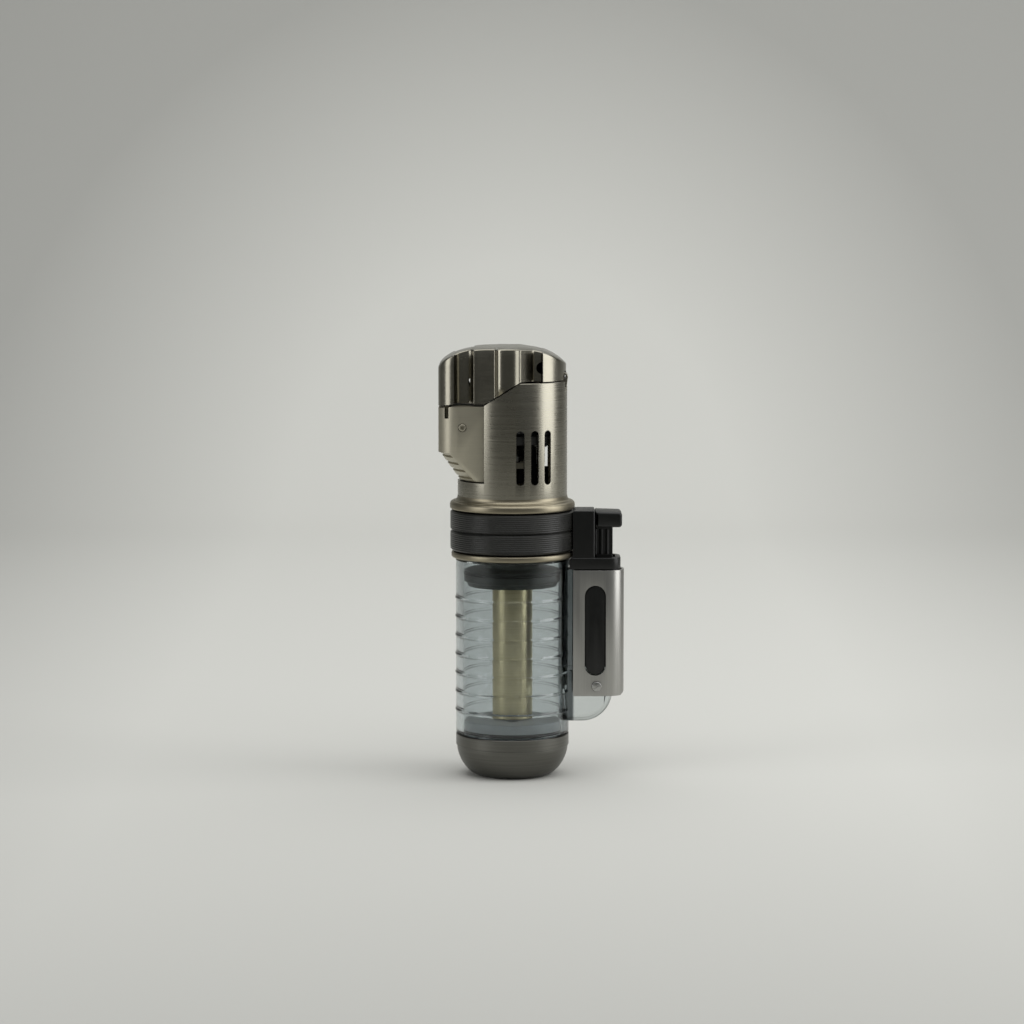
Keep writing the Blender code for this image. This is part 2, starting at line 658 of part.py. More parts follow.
def valve():
    foot, seat, room = Z_TOP_PLUG - 4.9 * MM, Z_BAND + 0.4 * MM, Z_BAND + 4.9 * MM
    top = Z_BARREL + 0.5 * MM
    nipple = TUBE_BORE - FIT
    body = [(0.8 * MM, foot), (nipple, foot), (nipple, Z_TOP_PLUG - FIT), (VALVE_R, Z_TOP_PLUG)]
    body += [
        (VALVE_R, top), (2.8 * MM, top), (2.8 * MM, room), (1.9 * MM, room), (1.9 * MM, seat),
        (0.8 * MM, seat),
    ]
    turned("valve_body", body, BRASS, SMALL)
    low, high = top + FIT, top + 2.7 * MM
    lid_hole = STEM_R + FIT
    cap = [
        (lid_hole, low), (VALVE_R, low), (VALVE_R, high - 0.4 * MM), (VALVE_R - 0.4 * MM, high),
        (lid_hole, high),
    ]
    turned("valve_cap", cap, BRASS, SMALL)

    foot, flange = seat + 1.5 * MM, room + 0.5 * MM
    socket = JET_PIPE_R + 0.35 * MM
    bottom = Z_STEM_COLLAR - 1.7 * MM
    stem = [
        (0.0, foot), (1.6 * MM, foot), (1.6 * MM, flange - MM), (STEM_R, flange - 0.8 * MM),
        (STEM_R, flange),
    ]
    stem += [
        (2.4 * MM, flange), (2.4 * MM, flange + MM), (STEM_R, flange + MM), (STEM_R, Z_FORK - 1.9 * MM)
    ]
    stem += [(STEM_TOP_R, Z_FORK - 1.4 * MM), (STEM_TOP_R, Z_STEM_COLLAR), (STEM_COLLAR_R, Z_STEM_COLLAR)]
    stem += [(STEM_COLLAR_R, Z_STEM_COLLAR + 1.2 * MM), (STEM_TOP_R, Z_STEM_COLLAR + 1.2 * MM)]
    stem += [(STEM_TOP_R, Z_STEM_TOP), (socket, Z_STEM_TOP), (socket, bottom), (0.0, bottom)]
    turned("valve_stem", stem, STEEL, SMALL)
    coil("valve_spring", 2.0 * MM, 0.25 * MM, 4, flange + MM + FIT, top, STEEL)


def burner():
    jet_hole = JET_R + FIT
    plate = [(jet_hole, Z_CARRIER), (SPIGOT_R, Z_CARRIER), (SPIGOT_R, Z_DECK), (jet_hole, Z_DECK)]
    carrier = turned("burner_carrier", plate, GREY_PLASTIC, MEDIUM)
    clear_x = TRIGGER_INNER_X + MM
    reach = SIDE_HALF * 2
    tall = (Z_CARRIER - MM, Z_DECK + MM)
    for name, side in (("carrier_clear_a", 1), ("carrier_clear_b", -1)):
        y = sorted((side * (CARRIER_HALF + 0.2 * MM), side * reach))
        cut(carrier, box(name, (-reach, clear_x), y, tall, GREY_PLASTIC))
    nose = PIVOT_X - 0.6 * MM
    short = box("carrier_nose", (-reach, nose), (-reach, reach), tall, GREY_PLASTIC)
    slab = box(
        "carrier_slab", (nose, clear_x), (-CARRIER_HALF, CARRIER_HALF), (Z_CARRIER, Z_DECK), GREY_PLASTIC
    )
    join(carrier, slab)
    cut(carrier, short)
    for name, side in (("ear_a", 1), ("ear_b", -1)):
        y = sorted((side * CARRIER_HALF, side * (CARRIER_HALF - CARRIER_EAR_W)))
        eye = arc(PIVOT_X, Z_PIVOT, 1.6 * MM, 0, 180, 6)
        ear = [
            *eye, (PIVOT_X - 1.6 * MM, Z_DECK + 0.4 * MM), (nose, Z_DECK - MM),
            (PIVOT_X + 1.6 * MM, Z_DECK - MM),
        ]
        join(carrier, prism(name, ear, *y, GREY_PLASTIC, "Y"))
    pin_hole = rod_y("carrier_pin_hole", PIVOT_PIN_R + RUN, PIVOT_X, Z_PIVOT, -reach, reach, GREY_PLASTIC)
    rod = [(0.0, 0.0), (ROD_R + FIT, 0.0), (ROD_R + FIT, Z_DECK + MM), (0.0, Z_DECK + MM)]
    cut(carrier, pin_hole, turned("carrier_rod_hole", rod, GREY_PLASTIC, SMALL, (ROD_X, 0.0)))

    seat, bore = Z_DECK + FIT, 0.4 * MM
    pipe = Z_STEM_COLLAR - 0.2 * MM
    body = Z_STEM_TOP + VALVE_LIFT + 0.25 * MM
    jet = [(bore, pipe), (JET_PIPE_R, pipe), (JET_PIPE_R, body), (JET_R, body), (JET_R, seat)]
    jet += [(MIXER_R - 0.2 * MM, seat), (MIXER_R - 0.2 * MM, seat + 0.9 * MM), (bore, seat + 0.9 * MM)]
    turned("jet_nozzle", jet, BRASS, SMALL)

    low = seat + 0.9 * MM + FIT
    high = low + 3.7 * MM
    ring = [(MIXER_R - 0.9 * MM, low), (MIXER_R, low), (MIXER_R, high), (MIXER_R - 0.9 * MM, high)]
    mixer = turned("mixing_tube", ring, BRASS, SMALL)
    cut(mixer, rod_y("air_hole", 0.8 * MM, 0.0, low + 1.6 * MM, -FLAME_R, FLAME_R, BRASS, 10))

    inner, top = FLAME_R - 0.7 * MM, seat + FLAME_H
    shell = [
        (inner, seat), (FLAME_R, seat), (FLAME_R, top - 0.5 * MM), (FLAME_R - 0.4 * MM, top),
        (inner - 0.3 * MM, top),
    ]
    shell += [(inner, top - 0.6 * MM)]
    turned("flame_tube", shell, STEEL, MEDIUM)
    return top


def baffle():
    """A plate on the neck's deck, behind the stem, that keeps wind from blowing through the slots."""
    back = BAFFLE_Y + BAFFLE_T
    right = math.sqrt((SPIGOT_R - 1.4 * MM - FIT) ** 2 - back**2)
    plate = box("air_baffle", (BAFFLE_LEFT, right), (BAFFLE_Y, back), (Z_BARREL, Z_CARRIER - FIT), DARK_METAL)
    low = Z_BARREL + BAFFLE_NOTCH_RISE
    notch = box(
        "baffle_notch", (BAFFLE_NOTCH_X, BARREL_R), (0.0, BARREL_R), (low, low + BAFFLE_NOTCH_H), DARK_METAL
    )
    cut(plate, notch)


def ignition(flame_top):
    low, high = Z_CARRIER - 5.6 * MM, Z_CARRIER - FIT
    bore = ROD_R + 0.25 * MM
    collar = CERAMIC_R + 0.6 * MM
    shell = [
        (bore, low), (CERAMIC_R, low), (CERAMIC_R, high - MM), (collar, high - MM), (collar, high),
        (bore, high),
    ]
    turned("electrode_insulator", shell, CERAMIC, SMALL, (ROD_X, 0.0))
    over = flame_top + 2 * ROD_R
    bend = rounded([(ROD_X, low + 2 * MM, 0), (ROD_X, over, 1.2 * MM), (FLAME_R - 1.4 * MM, over, 0)])
    tube_along("electrode", [(x, 0.0, z) for x, z in bend], ROD_R, STEEL)
    entry = Z_PIEZO + PIEZO_H - 2.7 * MM
    route = [(STEM_X0 - FIT, entry, 0), (WIRE_X, entry, MM), (WIRE_X, Z_WIRE, 1.2 * MM)]
    route += [(ROD_X, Z_WIRE, 1.2 * MM), (ROD_X, low - FIT, 0)]
    tube_along("ignition_wire", [(x, 0.0, z) for x, z in rounded(route)], WIRE_R, INSULATION)


def barrel():
    low = Z_BARREL + FIT
    tube = [(BARREL_BORE, low), (BARREL_R, low), (BARREL_R, Z_SEAM), (BARREL_BORE, Z_SEAM)]
    shell = turned("head_barrel", tube, GUNMETAL, 44)
    far = BARREL_R * 2
    wedge = [(-far, Z_SIDE), (SIDE_X, Z_SIDE), (SEAM_X, Z_SEAM), (SEAM_X, Z_CROWN), (-far, Z_CROWN)]
    side = [
        (-far, Z_BARREL + SIDE_RISE), (SIDE_X, Z_BARREL + SIDE_RISE), (SIDE_X, Z_CROWN), (-far, Z_CROWN)
    ]
    cut(
        shell, prism("seam_cut", wedge, -far, far, GUNMETAL, "Y"),
        prism("side_cut", side, -far, far, GUNMETAL, "Y"),
    )
    middle = low + SLOT_RISE + SLOT_H / 2
    for k in range(SLOTS):
        for face in (0, 1):
            turn = math.radians(SLOT_FIRST + k * SLOT_PITCH)
            slot = prism(
                f"slot_{k}_{face}", pill(0.0, middle, SLOT_W, SLOT_H), -far, -BARREL_R / 2, GUNMETAL, "Y"
            )
            slot.rotation_euler.z = turn if face == 0 else math.pi - turn
            cut(shell, slot)
    notch_x = HINGE_X - KNUCKLE_R - 0.4 * MM
    reach = EAR_Y1 + 2 * FIT
    deep = Z_HINGE - 2 * KNUCKLE_R
    cut(shell, box("hinge_notch", (notch_x, far), (-reach, reach), (deep, Z_CROWN), GUNMETAL))
    for name, side in (("barrel_ear_a", 1), ("barrel_ear_b", -1)):
        y = sorted((side * EAR_Y0, side * EAR_Y1))
        eye = arc(HINGE_X, Z_HINGE, KNUCKLE_R, -20, 180, 8)
        ear = [*eye, (HINGE_X - KNUCKLE_R, deep - 1.2 * MM), (HINGE_X + 0.8 * MM, deep - 1.2 * MM)]
        join(shell, prism(name, ear, *y, GUNMETAL, "Y"))
    cut(shell, rod_y("ear_hole", HINGE_PIN_R + RUN, HINGE_X, Z_HINGE, -far, far, GUNMETAL, 12))
    rod_y("lid_hinge_pin", HINGE_PIN_R, HINGE_X, Z_HINGE, -EAR_Y1, EAR_Y1, STEEL, 12)


def lid_outline():
    """Round over the barrel, with a nose over the trigger."""
    meet = 180 - math.degrees(math.asin(SIDE_HALF / LID_R))
    corners = [(NOTCH_X, SIDE_HALF, 0), (LID_LEFT, SIDE_HALF, NOSE_R), (LID_LEFT, -SIDE_HALF, NOSE_R)]
    corners += [(NOTCH_X, -SIDE_HALF, 0)]
    return arc(0.0, 0.0, LID_R, -meet, meet, 30) + rounded(corners)


def crown(x):
    """Height of the lid's arched top."""
    middle = (LID_LEFT + LID_R) / 2
    half = (LID_R - LID_LEFT) / 2
    return Z_CROWN - CROWN_DROP * min(abs(x - middle) / half, 1.0) ** CROWN_POWER


def nose_edge(level):
    """The edge at this level over the trigger, which comes down a little towards the nose."""
    return [(LID_LEFT - MM, level - NOSE_SAG), (LID_LEFT + NOSE_RUN, level)]


def lid():
    far = BARREL_R * 2
    edge = Z_TRIGGER_TOP + LID_GAP
    low = edge - NOSE_SAG - MM
    cap = prism("lid", lid_outline(), low, Z_CROWN + MM, GUNMETAL)
    xs = np.linspace(LID_LEFT, LID_R, 15)
    arch = [(LID_LEFT - MM, crown(LID_LEFT))] + [(x, crown(x)) for x in xs] + [(LID_R + MM, crown(LID_R))]
    arch += [(LID_R + MM, Z_CROWN + 3 * MM), (LID_LEFT - MM, Z_CROWN + 3 * MM)]
    under = nose_edge(edge) + [(SIDE_X, edge), (SEAM_X, Z_SEAM + FIT), (far, Z_SEAM + FIT)]
    under += [(far, low - MM), (LID_LEFT - MM, low - MM)]
    cut(
        cap, prism("arch", arch, -far, far, GUNMETAL, "Y"),
        prism("under", under, -far, far, GUNMETAL, "Y"),
    )

    half_pitch = math.radians(FLUTE_PITCH / 2)
    tall = (low - MM, Z_CROWN + 3 * MM)
    for k, size in enumerate(FLUTE_RADII):
        out = LID_R * math.cos(half_pitch) + math.sqrt(size**2 - (LID_R * math.sin(half_pitch)) ** 2)
        turn = math.radians(FLUTE_FIRST + k * FLUTE_PITCH)
        for side in (-1, 1):
            ring = circle(out * math.sin(turn), side * out * math.cos(turn), size, 20)
            cut(cap, prism(f"flute_{k}_{side}", ring, *tall, GUNMETAL))
    for side in (-1, 1):
        floor, mouth = side * (SIDE_HALF - NOTCH_DEPTH), side * far
        left, right, soft = NOTCH_X - NOTCH_W / 2, NOTCH_X + NOTCH_W / 2, NOTCH_W * 0.4
        ring = rounded([(left, mouth, 0), (left, floor, soft), (right, floor, soft), (right, mouth, 0)])
        cut(cap, prism(f"notch_{side}", ring, *tall, GUNMETAL))
        ridge, wall, deep = SEAM_X, SEAM_X + GULLY_W, side * GULLY_FLOOR
        lip = side * math.sqrt(LID_R**2 - ridge**2)
        ring = [
            (ridge, lip, 0), (ridge + GULLY_SLOPE, deep, 0.8 * MM), (wall, deep, 0.6 * MM),
            (wall, mouth, 0), (ridge, mouth, 0),
        ]
        cut(cap, prism(f"gully_{side}", rounded(ring, 3), *tall, GUNMETAL))

    roof = Z_CROWN - ROOF
    round_pocket = prism("round_pocket", circle(0.0, 0.0, POCKET_R, 32), low - MM, roof, GUNMETAL)
    nose_pocket = box(
        "nose_pocket", (LID_LEFT + NOSE_WALL, 0.0), (-POCKET_HALF, POCKET_HALF),
        (low - MM, roof - 2.4 * MM), GUNMETAL,
    )
    cut(cap, round_pocket, nose_pocket)
    reach, deep = SIDE_HALF - NOTCH_DEPTH + 0.3 * MM, GULLY_FLOOR + 0.3 * MM
    cut(
        cap,
        rod_y(
            "notch_vent", VENT_R, NOTCH_X + NOTCH_W / 2 + 0.2 * MM, Z_SEAM - VENT_LOW, -reach, reach,
            GUNMETAL,
        ),
        rod_y("gully_vent", VENT_R, SEAM_X + GULLY_W, Z_SEAM + VENT_HIGH, -deep, deep, GUNMETAL),
    )
    for name, side in (("ear_room_a", 1), ("ear_room_b", -1)):
        y = sorted((side * KNUCKLE_HALF, side * (EAR_Y1 + FIT)))
        cut(cap, rod_y(name, KNUCKLE_R + 0.35 * MM, HINGE_X, Z_HINGE, *y, GUNMETAL, 20))
    join(cap, rod_y("knuckle", KNUCKLE_R, HINGE_X, Z_HINGE, -KNUCKLE_HALF, KNUCKLE_HALF, GUNMETAL))
    cut(cap, rod_y("knuckle_hole", HINGE_PIN_R + RUN, HINGE_X, Z_HINGE, -EAR_Y1, EAR_Y1, GUNMETAL, 12))
    set_origin(cap, (HINGE_X, 0.0, Z_HINGE))

    top = roof - FIT
    disc = [(0.0, top - LINER_H), (POCKET_R - FIT, top - LINER_H), (POCKET_R - FIT, top), (0.0, top)]
    set_origin(turned("lid_liner", disc, STEEL, MEDIUM), (HINGE_X, 0.0, Z_HINGE))


def toe_cone(name, inset, segments, steps=0):
    """The toe's cone about the barrel's axis, plain or in steps, from the barrel out to the trigger's end."""
    low = Z_BARREL + SIDE_RISE + FIT
    far = BARREL_R * 2
    small, large = -LID_LEFT - TOE_IN - inset, -LID_LEFT - inset
    profile = [(0.0, low - 2 * MM), (small, low - 2 * MM), (small, low)]
    for k in range(steps):
        run, rise = (large - small) / steps, TOE_RISE / steps
        profile.append((small + run * (k + STEP_LEAN), low + rise * (k + STEP_FACE)))
        profile.append((small + run * (k + 1), low + rise * (k + 1)))
    if not steps:
        profile.append((large, low + TOE_RISE))
    profile += [(far, low + TOE_RISE + 0.2 * MM), (far, Z_CROWN), (0.0, Z_CROWN)]
    return turned(name, profile, GUNMETAL, segments)


def toe_grooves():
    """Cutter for the finger grooves across the toe, kept clear of the trigger's flat faces."""
    half = SIDE_HALF - TOE_RIM
    low = Z_BARREL + SIDE_RISE - MM
    tool = box("toe_grooves", (-2 * BARREL_R, 0.0), (-half, half), (low, Z_TRIGGER_TOP), GUNMETAL)
    combine(tool, toe_cone("toe_steps", -TOE_LAND, ROUND, TOE_STEPS))
    return tool


def trigger():
    low, high = Z_BARREL + SIDE_RISE + FIT, Z_TRIGGER_TOP
    far = BARREL_R * 2
    right = TRIGGER_INNER_X
    plan = rounded(
        [
            (LID_LEFT, -SIDE_HALF, NOSE_R), (right, -SIDE_HALF, 0), (right, SIDE_HALF, 0),
            (LID_LEFT, SIDE_HALF, NOSE_R),
        ]
    )
    lever = prism("trigger", plan, low, high + MM, GUNMETAL)
    inside = SIDE_HALF - TRIGGER_WALL
    floor = Z_FORK + FORK_T
    wall = LID_LEFT + TRIGGER_END_WALL
    deep, roof = floor - FORK_PROUD, Z_FORK + FORK_PROUD
    hollow = [(wall, high + 2 * MM), (wall, floor + 4.3 * MM), (wall + 2.8 * MM, deep)]
    hollow += [(0.0, deep), (0.0, high + 2 * MM)]
    under_x = LID_LEFT + TOE_IN + 2 * TRIGGER_WALL
    under = [(under_x, roof), (0.0, roof), (0.0, low - MM), (under_x, low - MM)]
    over = nose_edge(high) + [(0.0, high), (0.0, high + 3 * MM), (LID_LEFT - MM, high + 3 * MM)]
    slot = (LID_LEFT + LIP_SLOT_IN, LID_LEFT + LIP_SLOT_IN + LIP_SLOT_W)
    combine(lever, toe_cone("toe_cone", 0.0, ROUND), "INTERSECT")
    room = prism("hollow", hollow, -inside, inside, GUNMETAL, "Y")
    combine(room, toe_cone("hollow_cone", TRIGGER_WALL + 0.3 * MM, MEDIUM), "INTERSECT")
    inner = FORK_HALF + 2 * MM
    cut(
        lever,
        room,
        prism("under_floor", under, -inner, inner, GUNMETAL, "Y"),
        prism("over_trigger", over, -far, far, GUNMETAL, "Y"),
    )
    lip_slot = box("lip_slot", slot, (-far, MM - inside), (high - LIP_SLOT_H, high + MM), GUNMETAL)
    cut(lever, lip_slot, toe_grooves())
    shoulder = right - 1.5 * MM
    slot_x = -STEM_TOP_R - VALVE_LIFT - 0.2 * MM
    slot_half = STEM_TOP_R + FIT
    fork = [(shoulder, -FORK_HALF), (FORK_TIP, -FORK_HALF), (FORK_TIP, -slot_half), (slot_x, -slot_half)]
    fork += [(slot_x, slot_half), (FORK_TIP, slot_half), (FORK_TIP, FORK_HALF), (shoulder, FORK_HALF)]
    join(lever, prism("fork", fork, Z_FORK, floor, GUNMETAL))
    cut(lever, rod_y("trigger_pin_hole", PIVOT_PIN_R + RUN, PIVOT_X, Z_PIVOT, -far, far, GUNMETAL))
    set_origin(lever, (PIVOT_X, 0.0, Z_PIVOT))

    reach = SIDE_HALF + FIT
    rod_y("trigger_pin", PIVOT_PIN_R, PIVOT_X, Z_PIVOT, -reach, reach, STEEL)
    trigger_spring(floor)


def trigger_spring(floor):
    """Torsion spring round the trigger's pin: one leg on the carrier, one on the trigger's end wall."""
    radius, wire, pitch, turns, per_turn = 1.6 * MM, 0.3 * MM, 1.2 * MM, 2.75, 8
    start = -pitch * turns / 2
    t = np.linspace(0.0, 1.0, int(turns * per_turn) + 1)
    angle = -math.pi / 2 + math.tau * turns * t
    wound = np.stack(
        [PIVOT_X + radius * np.cos(angle), start + pitch * turns * t, Z_PIVOT + radius * np.sin(angle)],
        axis=1,
    )
    report_gap("trigger_spring", wound, wire, per_turn)
    rest = (PIVOT_X + 3.6 * MM, start, Z_PIVOT - radius)
    push = (LID_LEFT + TRIGGER_END_WALL + FIT + wire, -start, floor + 5.5 * MM)
    tube_along("trigger_spring", [push, *wound[::-1], rest], wire, STEEL)


def igniter():
    core_x = (SLEEVE_X0 + FIT, SLEEVE_X1 - SLEEVE_WALL - FIT)
    soft = SLEEVE_CORNER_R - SLEEVE_WALL - FIT
    plan = rounded(
        [
            (core_x[0], -CORE_HALF, 0), (core_x[1], -CORE_HALF, soft), (core_x[1], CORE_HALF, soft),
            (core_x[0], CORE_HALF, 0),
        ]
    )
    frame = prism("igniter_frame", plan, Z_CORE, Z_COLLAR + MM, BLACK_PLASTIC)
    left, right = TANK_R, SLEEVE_X1 - COLLAR_IN
    ring = rounded(
        [
            (left, -SLEEVE_HALF, 0), (right, -SLEEVE_HALF, COLLAR_CORNER_R),
            (right, SLEEVE_HALF, COLLAR_CORNER_R),
            (left, SLEEVE_HALF, 0),
        ],
    )
    block = rounded(
        [
            (left, -GUIDE_HALF, 0), (GUIDE_X1, -GUIDE_HALF, 0.5 * MM), (GUIDE_X1, GUIDE_HALF, 0.5 * MM),
            (left, GUIDE_HALF, 0),
        ],
        2,
    )
    top = Z_COLLAR_TOP + GUIDE_H
    join(
        frame,
        prism("collar", ring, Z_COLLAR, Z_COLLAR_TOP, BLACK_PLASTIC),
        prism("guide", block, Z_COLLAR_TOP - MM, top, BLACK_PLASTIC),
    )
    near, band = TANK_R + RIB_PROUD + FIT, BAND_R + FIT
    body = [
        (0.0, Z_CORE), (near, Z_CORE), (near, Z_RING), (band, Z_RING), (band, top + MM), (0.0, top + MM)
    ]
    well = (GUIDE_X1 + 0.05 * MM, STEM_X1 + WELL_ROOM)
    wide = STEM_HALF + FIT
    cavity = box("cavity", well, (-wide, wide), (Z_PIEZO - FIT, Z_COLLAR_TOP + MM), BLACK_PLASTIC)
    entry = Z_PIEZO + PIEZO_H - 2.7 * MM
    size = WIRE_R + FIT
    shaft = WIRE_R + 1.5 * FIT
    rise = [(0.0, entry - MM), (shaft, entry - MM), (shaft, Z_WIRE + MM), (0.0, Z_WIRE + MM)]
    side = box("wire_side", (WIRE_X, STEM_X0), (-size, size), (entry - size, entry + size), BLACK_PLASTIC)
    cut(
        frame,
        turned("body_room", body, BLACK_PLASTIC, ROUND),
        cavity,
        turned("wire_rise", rise, BLACK_PLASTIC, 12, (WIRE_X, 0.0)),
        side,
        wire_hole("frame_wire_hole"),
    )
    piezo()


def piezo():
    high = Z_PIEZO + PIEZO_H
    block = box(
        "piezo_body", (STEM_X0, STEM_X1 + 0.4 * MM), (-STEM_HALF, STEM_HALF), (Z_PIEZO, high),
        GREY_PLASTIC,
    )
    size, bottom = PLUNGER_R + 0.35 * MM, Z_PIEZO + 1.2 * MM
    bore = [(0.0, bottom), (size, bottom), (size, high + MM), (0.0, high + MM)]
    cut(block, turned("piezo_bore", bore, GREY_PLASTIC, SMALL, (STEM_MID, 0.0)))
    foot, top = bottom + BUTTON_TRAVEL + 0.4 * MM, Z_STEM - FIT
    rod = [(0.0, foot), (PLUNGER_R, foot), (PLUNGER_R, top), (0.0, top)]
    turned("piezo_plunger", rod, BRASS, SMALL, (STEM_MID, 0.0))
    coil(
        "button_spring", BUTTON_SPRING_R, BUTTON_SPRING_WIRE, 5, high + 0.2 * MM, Z_STEM - 0.2 * MM,
        STEEL, (STEM_MID, 0.0),
    )


def sleeve():
    x0, x1, w = SLEEVE_X0, SLEEVE_X1, SLEEVE_WALL
    half, inner, soft = SLEEVE_HALF, SLEEVE_HALF - SLEEVE_WALL, SLEEVE_CORNER_R
    wrap = [(x0, -half, 0), (x1, -half, soft), (x1, half, soft), (x0, half, 0)]
    wrap += [(x0, inner, 0), (x1 - w, inner, soft - w), (x1 - w, -inner, soft - w), (x0, -inner, 0)]
    shell = prism("igniter_sleeve", rounded(wrap), SLEEVE_Z0, Z_SLEEVE_TOP, STEEL)
    window = prism(
        "window", pill(WINDOW_X, WINDOW_Z, WINDOW_W, WINDOW_H), -half - MM, -inner + MM, STEEL, "Y"
    )
    hole = rod_y("sleeve_screw_hole", SCREW_R + FIT, SCREW_X, SCREW_Z, -half - MM, -inner + MM, STEEL, 12)
    nip = [(x1 - 2 * MM, SLEEVE_Z0 - MM), (x1 + MM, SLEEVE_Z0 - MM), (x1 + MM, SLEEVE_Z0 + 1.6 * MM)]
    nip += [(x1 - 0.01 * MM, SLEEVE_Z0 + 1.6 * MM), (x1 - 2 * MM, SLEEVE_Z0 + 0.01 * MM)]
    cut(shell, window, hole, prism("nip", nip, -half - MM, half + MM, STEEL, "Y"))
    plate = pill(WINDOW_X, WINDOW_Z, WINDOW_W - 2 * FIT, WINDOW_H - 2 * FIT)
    prism("sleeve_inlay", plate, -half + 0.2 * MM, -inner, BLACK_PLASTIC, "Y")

    tip, face = 3.8 * MM, half + FIT
    shape = [
        (0.0, face + 0.5 * MM), (SCREW_HEAD_R - 0.25 * MM, face + 0.5 * MM),
        (SCREW_HEAD_R, face + 0.2 * MM),
    ]
    shape += [(SCREW_HEAD_R, face), (SCREW_R, face), (SCREW_R, face - tip), (0.0, face - tip - 0.4 * MM)]
    screw = turned("sleeve_screw", shape, STEEL, SMALL)
    screw.rotation_euler.x = math.pi / 2
    screw.location = (SCREW_X, 0.0, SCREW_Z)


def button():
    low, hook = Z_STEM, Z_COLLAR_TOP + HOOK_RISE
    high = hook + HOOK_H
    stem = box(
        "thumb_button", (STEM_X0, STEM_X1), (-STEM_HALF, STEM_HALF), (low, hook + MM), BLACK_PLASTIC
    )
    left, right = STEM_X0, STEM_X0 + HOOK_W
    side = rounded(
        [
            (left, hook, 0), (right, hook, 0.8 * MM), (right, high - 0.3 * MM, 0.9 * MM),
            (left, high, 0.4 * MM),
        ],
        3,
    )
    join(stem, prism("hook", side, -HOOK_HALF, HOOK_HALF, BLACK_PLASTIC, "Y"))
    pitch = STEM_W / GRIP_GROOVES
    for k in range(GRIP_GROOVES):
        x = STEM_X0 + (k + 0.5) * pitch
        for face in (-1, 1):
            y = sorted((face * (STEM_HALF - GRIP_GROOVE_DEPTH), face * (STEM_HALF + MM)))
            span = (x - GRIP_GROOVE_W / 2, x + GRIP_GROOVE_W / 2)
            cut(
                stem,
                box(
                    f"grip_{k}_{face}", span, y, (Z_COLLAR_TOP + 0.6 * MM, hook - 0.6 * MM), BLACK_PLASTIC
                ),
            )
    set_origin(stem, (STEM_MID, 0.0, hook))


base_cup()
dial()
filler()
tank()
plugs()
rings()
valve()
baffle()
ignition(burner())
barrel()
lid()
trigger()
igniter()
sleeve()
button()
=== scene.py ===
# %% [markdown]
# # A pocket butane torch
# A clear fuel tank stands in a dark base cup. A ribbed rubber band and two metal rings join it to a
# brushed metal head, with a trigger on the left and a fluted lid on top. A steel sleeve on the right
# holds the sparking unit and its black thumb button.
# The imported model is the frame: every fine surface made here takes the place of a node of that frame.

# %% Load the frame
import math

import bmesh
import bpy
import numpy as np
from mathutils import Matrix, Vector


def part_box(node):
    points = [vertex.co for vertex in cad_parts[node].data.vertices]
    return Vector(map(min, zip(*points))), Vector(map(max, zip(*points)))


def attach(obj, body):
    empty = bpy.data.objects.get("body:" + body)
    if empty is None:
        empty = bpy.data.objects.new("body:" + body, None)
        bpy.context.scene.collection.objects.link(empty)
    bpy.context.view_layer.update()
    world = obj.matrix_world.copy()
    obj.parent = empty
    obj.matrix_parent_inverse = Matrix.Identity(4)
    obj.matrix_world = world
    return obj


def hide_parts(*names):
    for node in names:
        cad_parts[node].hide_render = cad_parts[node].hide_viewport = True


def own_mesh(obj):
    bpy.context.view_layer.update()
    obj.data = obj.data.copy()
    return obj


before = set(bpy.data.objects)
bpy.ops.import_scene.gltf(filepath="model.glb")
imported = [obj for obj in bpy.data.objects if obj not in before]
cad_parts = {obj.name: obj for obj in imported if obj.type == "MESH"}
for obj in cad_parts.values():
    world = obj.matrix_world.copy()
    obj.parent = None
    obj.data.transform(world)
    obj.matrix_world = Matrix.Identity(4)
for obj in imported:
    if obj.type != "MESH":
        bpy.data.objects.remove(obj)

scene = bpy.context.scene
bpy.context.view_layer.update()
MM = 0.001

# %% [markdown]
# ## Surfaces from numbers
# Most of this torch was turned on a lathe or extruded, so two makers of surfaces carry it. One spins a
# profile round an axis, and the other carries an outline along an axis with softened ends. Both work on
# whole arrays: a row of the grid for each point of the profile, a column for each step around.

# %% Grids, outlines and meshes
def span(node):
    """The lowest and the highest corner of a node of the frame, in millimetres."""
    low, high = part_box(node)
    return np.array(low) / MM, np.array(high) / MM


def grid_quads(rows, columns, closed):
    """Corner numbers of a grid whose columns join up; its last row joins its first where it is closed."""
    row = np.arange(rows if closed else rows - 1)[:, None]
    column = np.arange(columns)[None, :]
    above, beside = (row + 1) % rows, (column + 1) % columns
    corners = [(row, column), (row, beside), (above, beside), (above, column)]
    return np.stack([r * columns + c for r, c in corners], axis=-1).reshape(-1, 4).tolist()


def soften(corners, steps=6):
    """A closed outline in which each corner (a, b, radius) becomes the arc that touches both of its sides."""
    out = []
    for k, (a, b, radius) in enumerate(corners):
        point = np.array([a, b], float)
        if radius == 0:
            out.append(point[None])
            continue
        sides = [np.array(corners[n % len(corners)][:2], float) - point for n in (k - 1, k + 1)]
        back, on = [side / np.linalg.norm(side) for side in sides]
        half = math.acos(float(np.clip(back @ on, -1, 1))) / 2
        centre = point + (back + on) / np.linalg.norm(back + on) * radius / math.sin(half)
        start, end = (point + side * radius / math.tan(half) - centre for side in (back, on))
        share, turn = np.linspace(0, 1, steps + 1)[:, None], math.pi - 2 * half
        sweep = np.sin((1 - share) * turn) * start + np.sin(share * turn) * end
        out.append(centre + sweep / math.sin(turn))
    return np.concatenate(out)


SAME_POINT = 2e-7


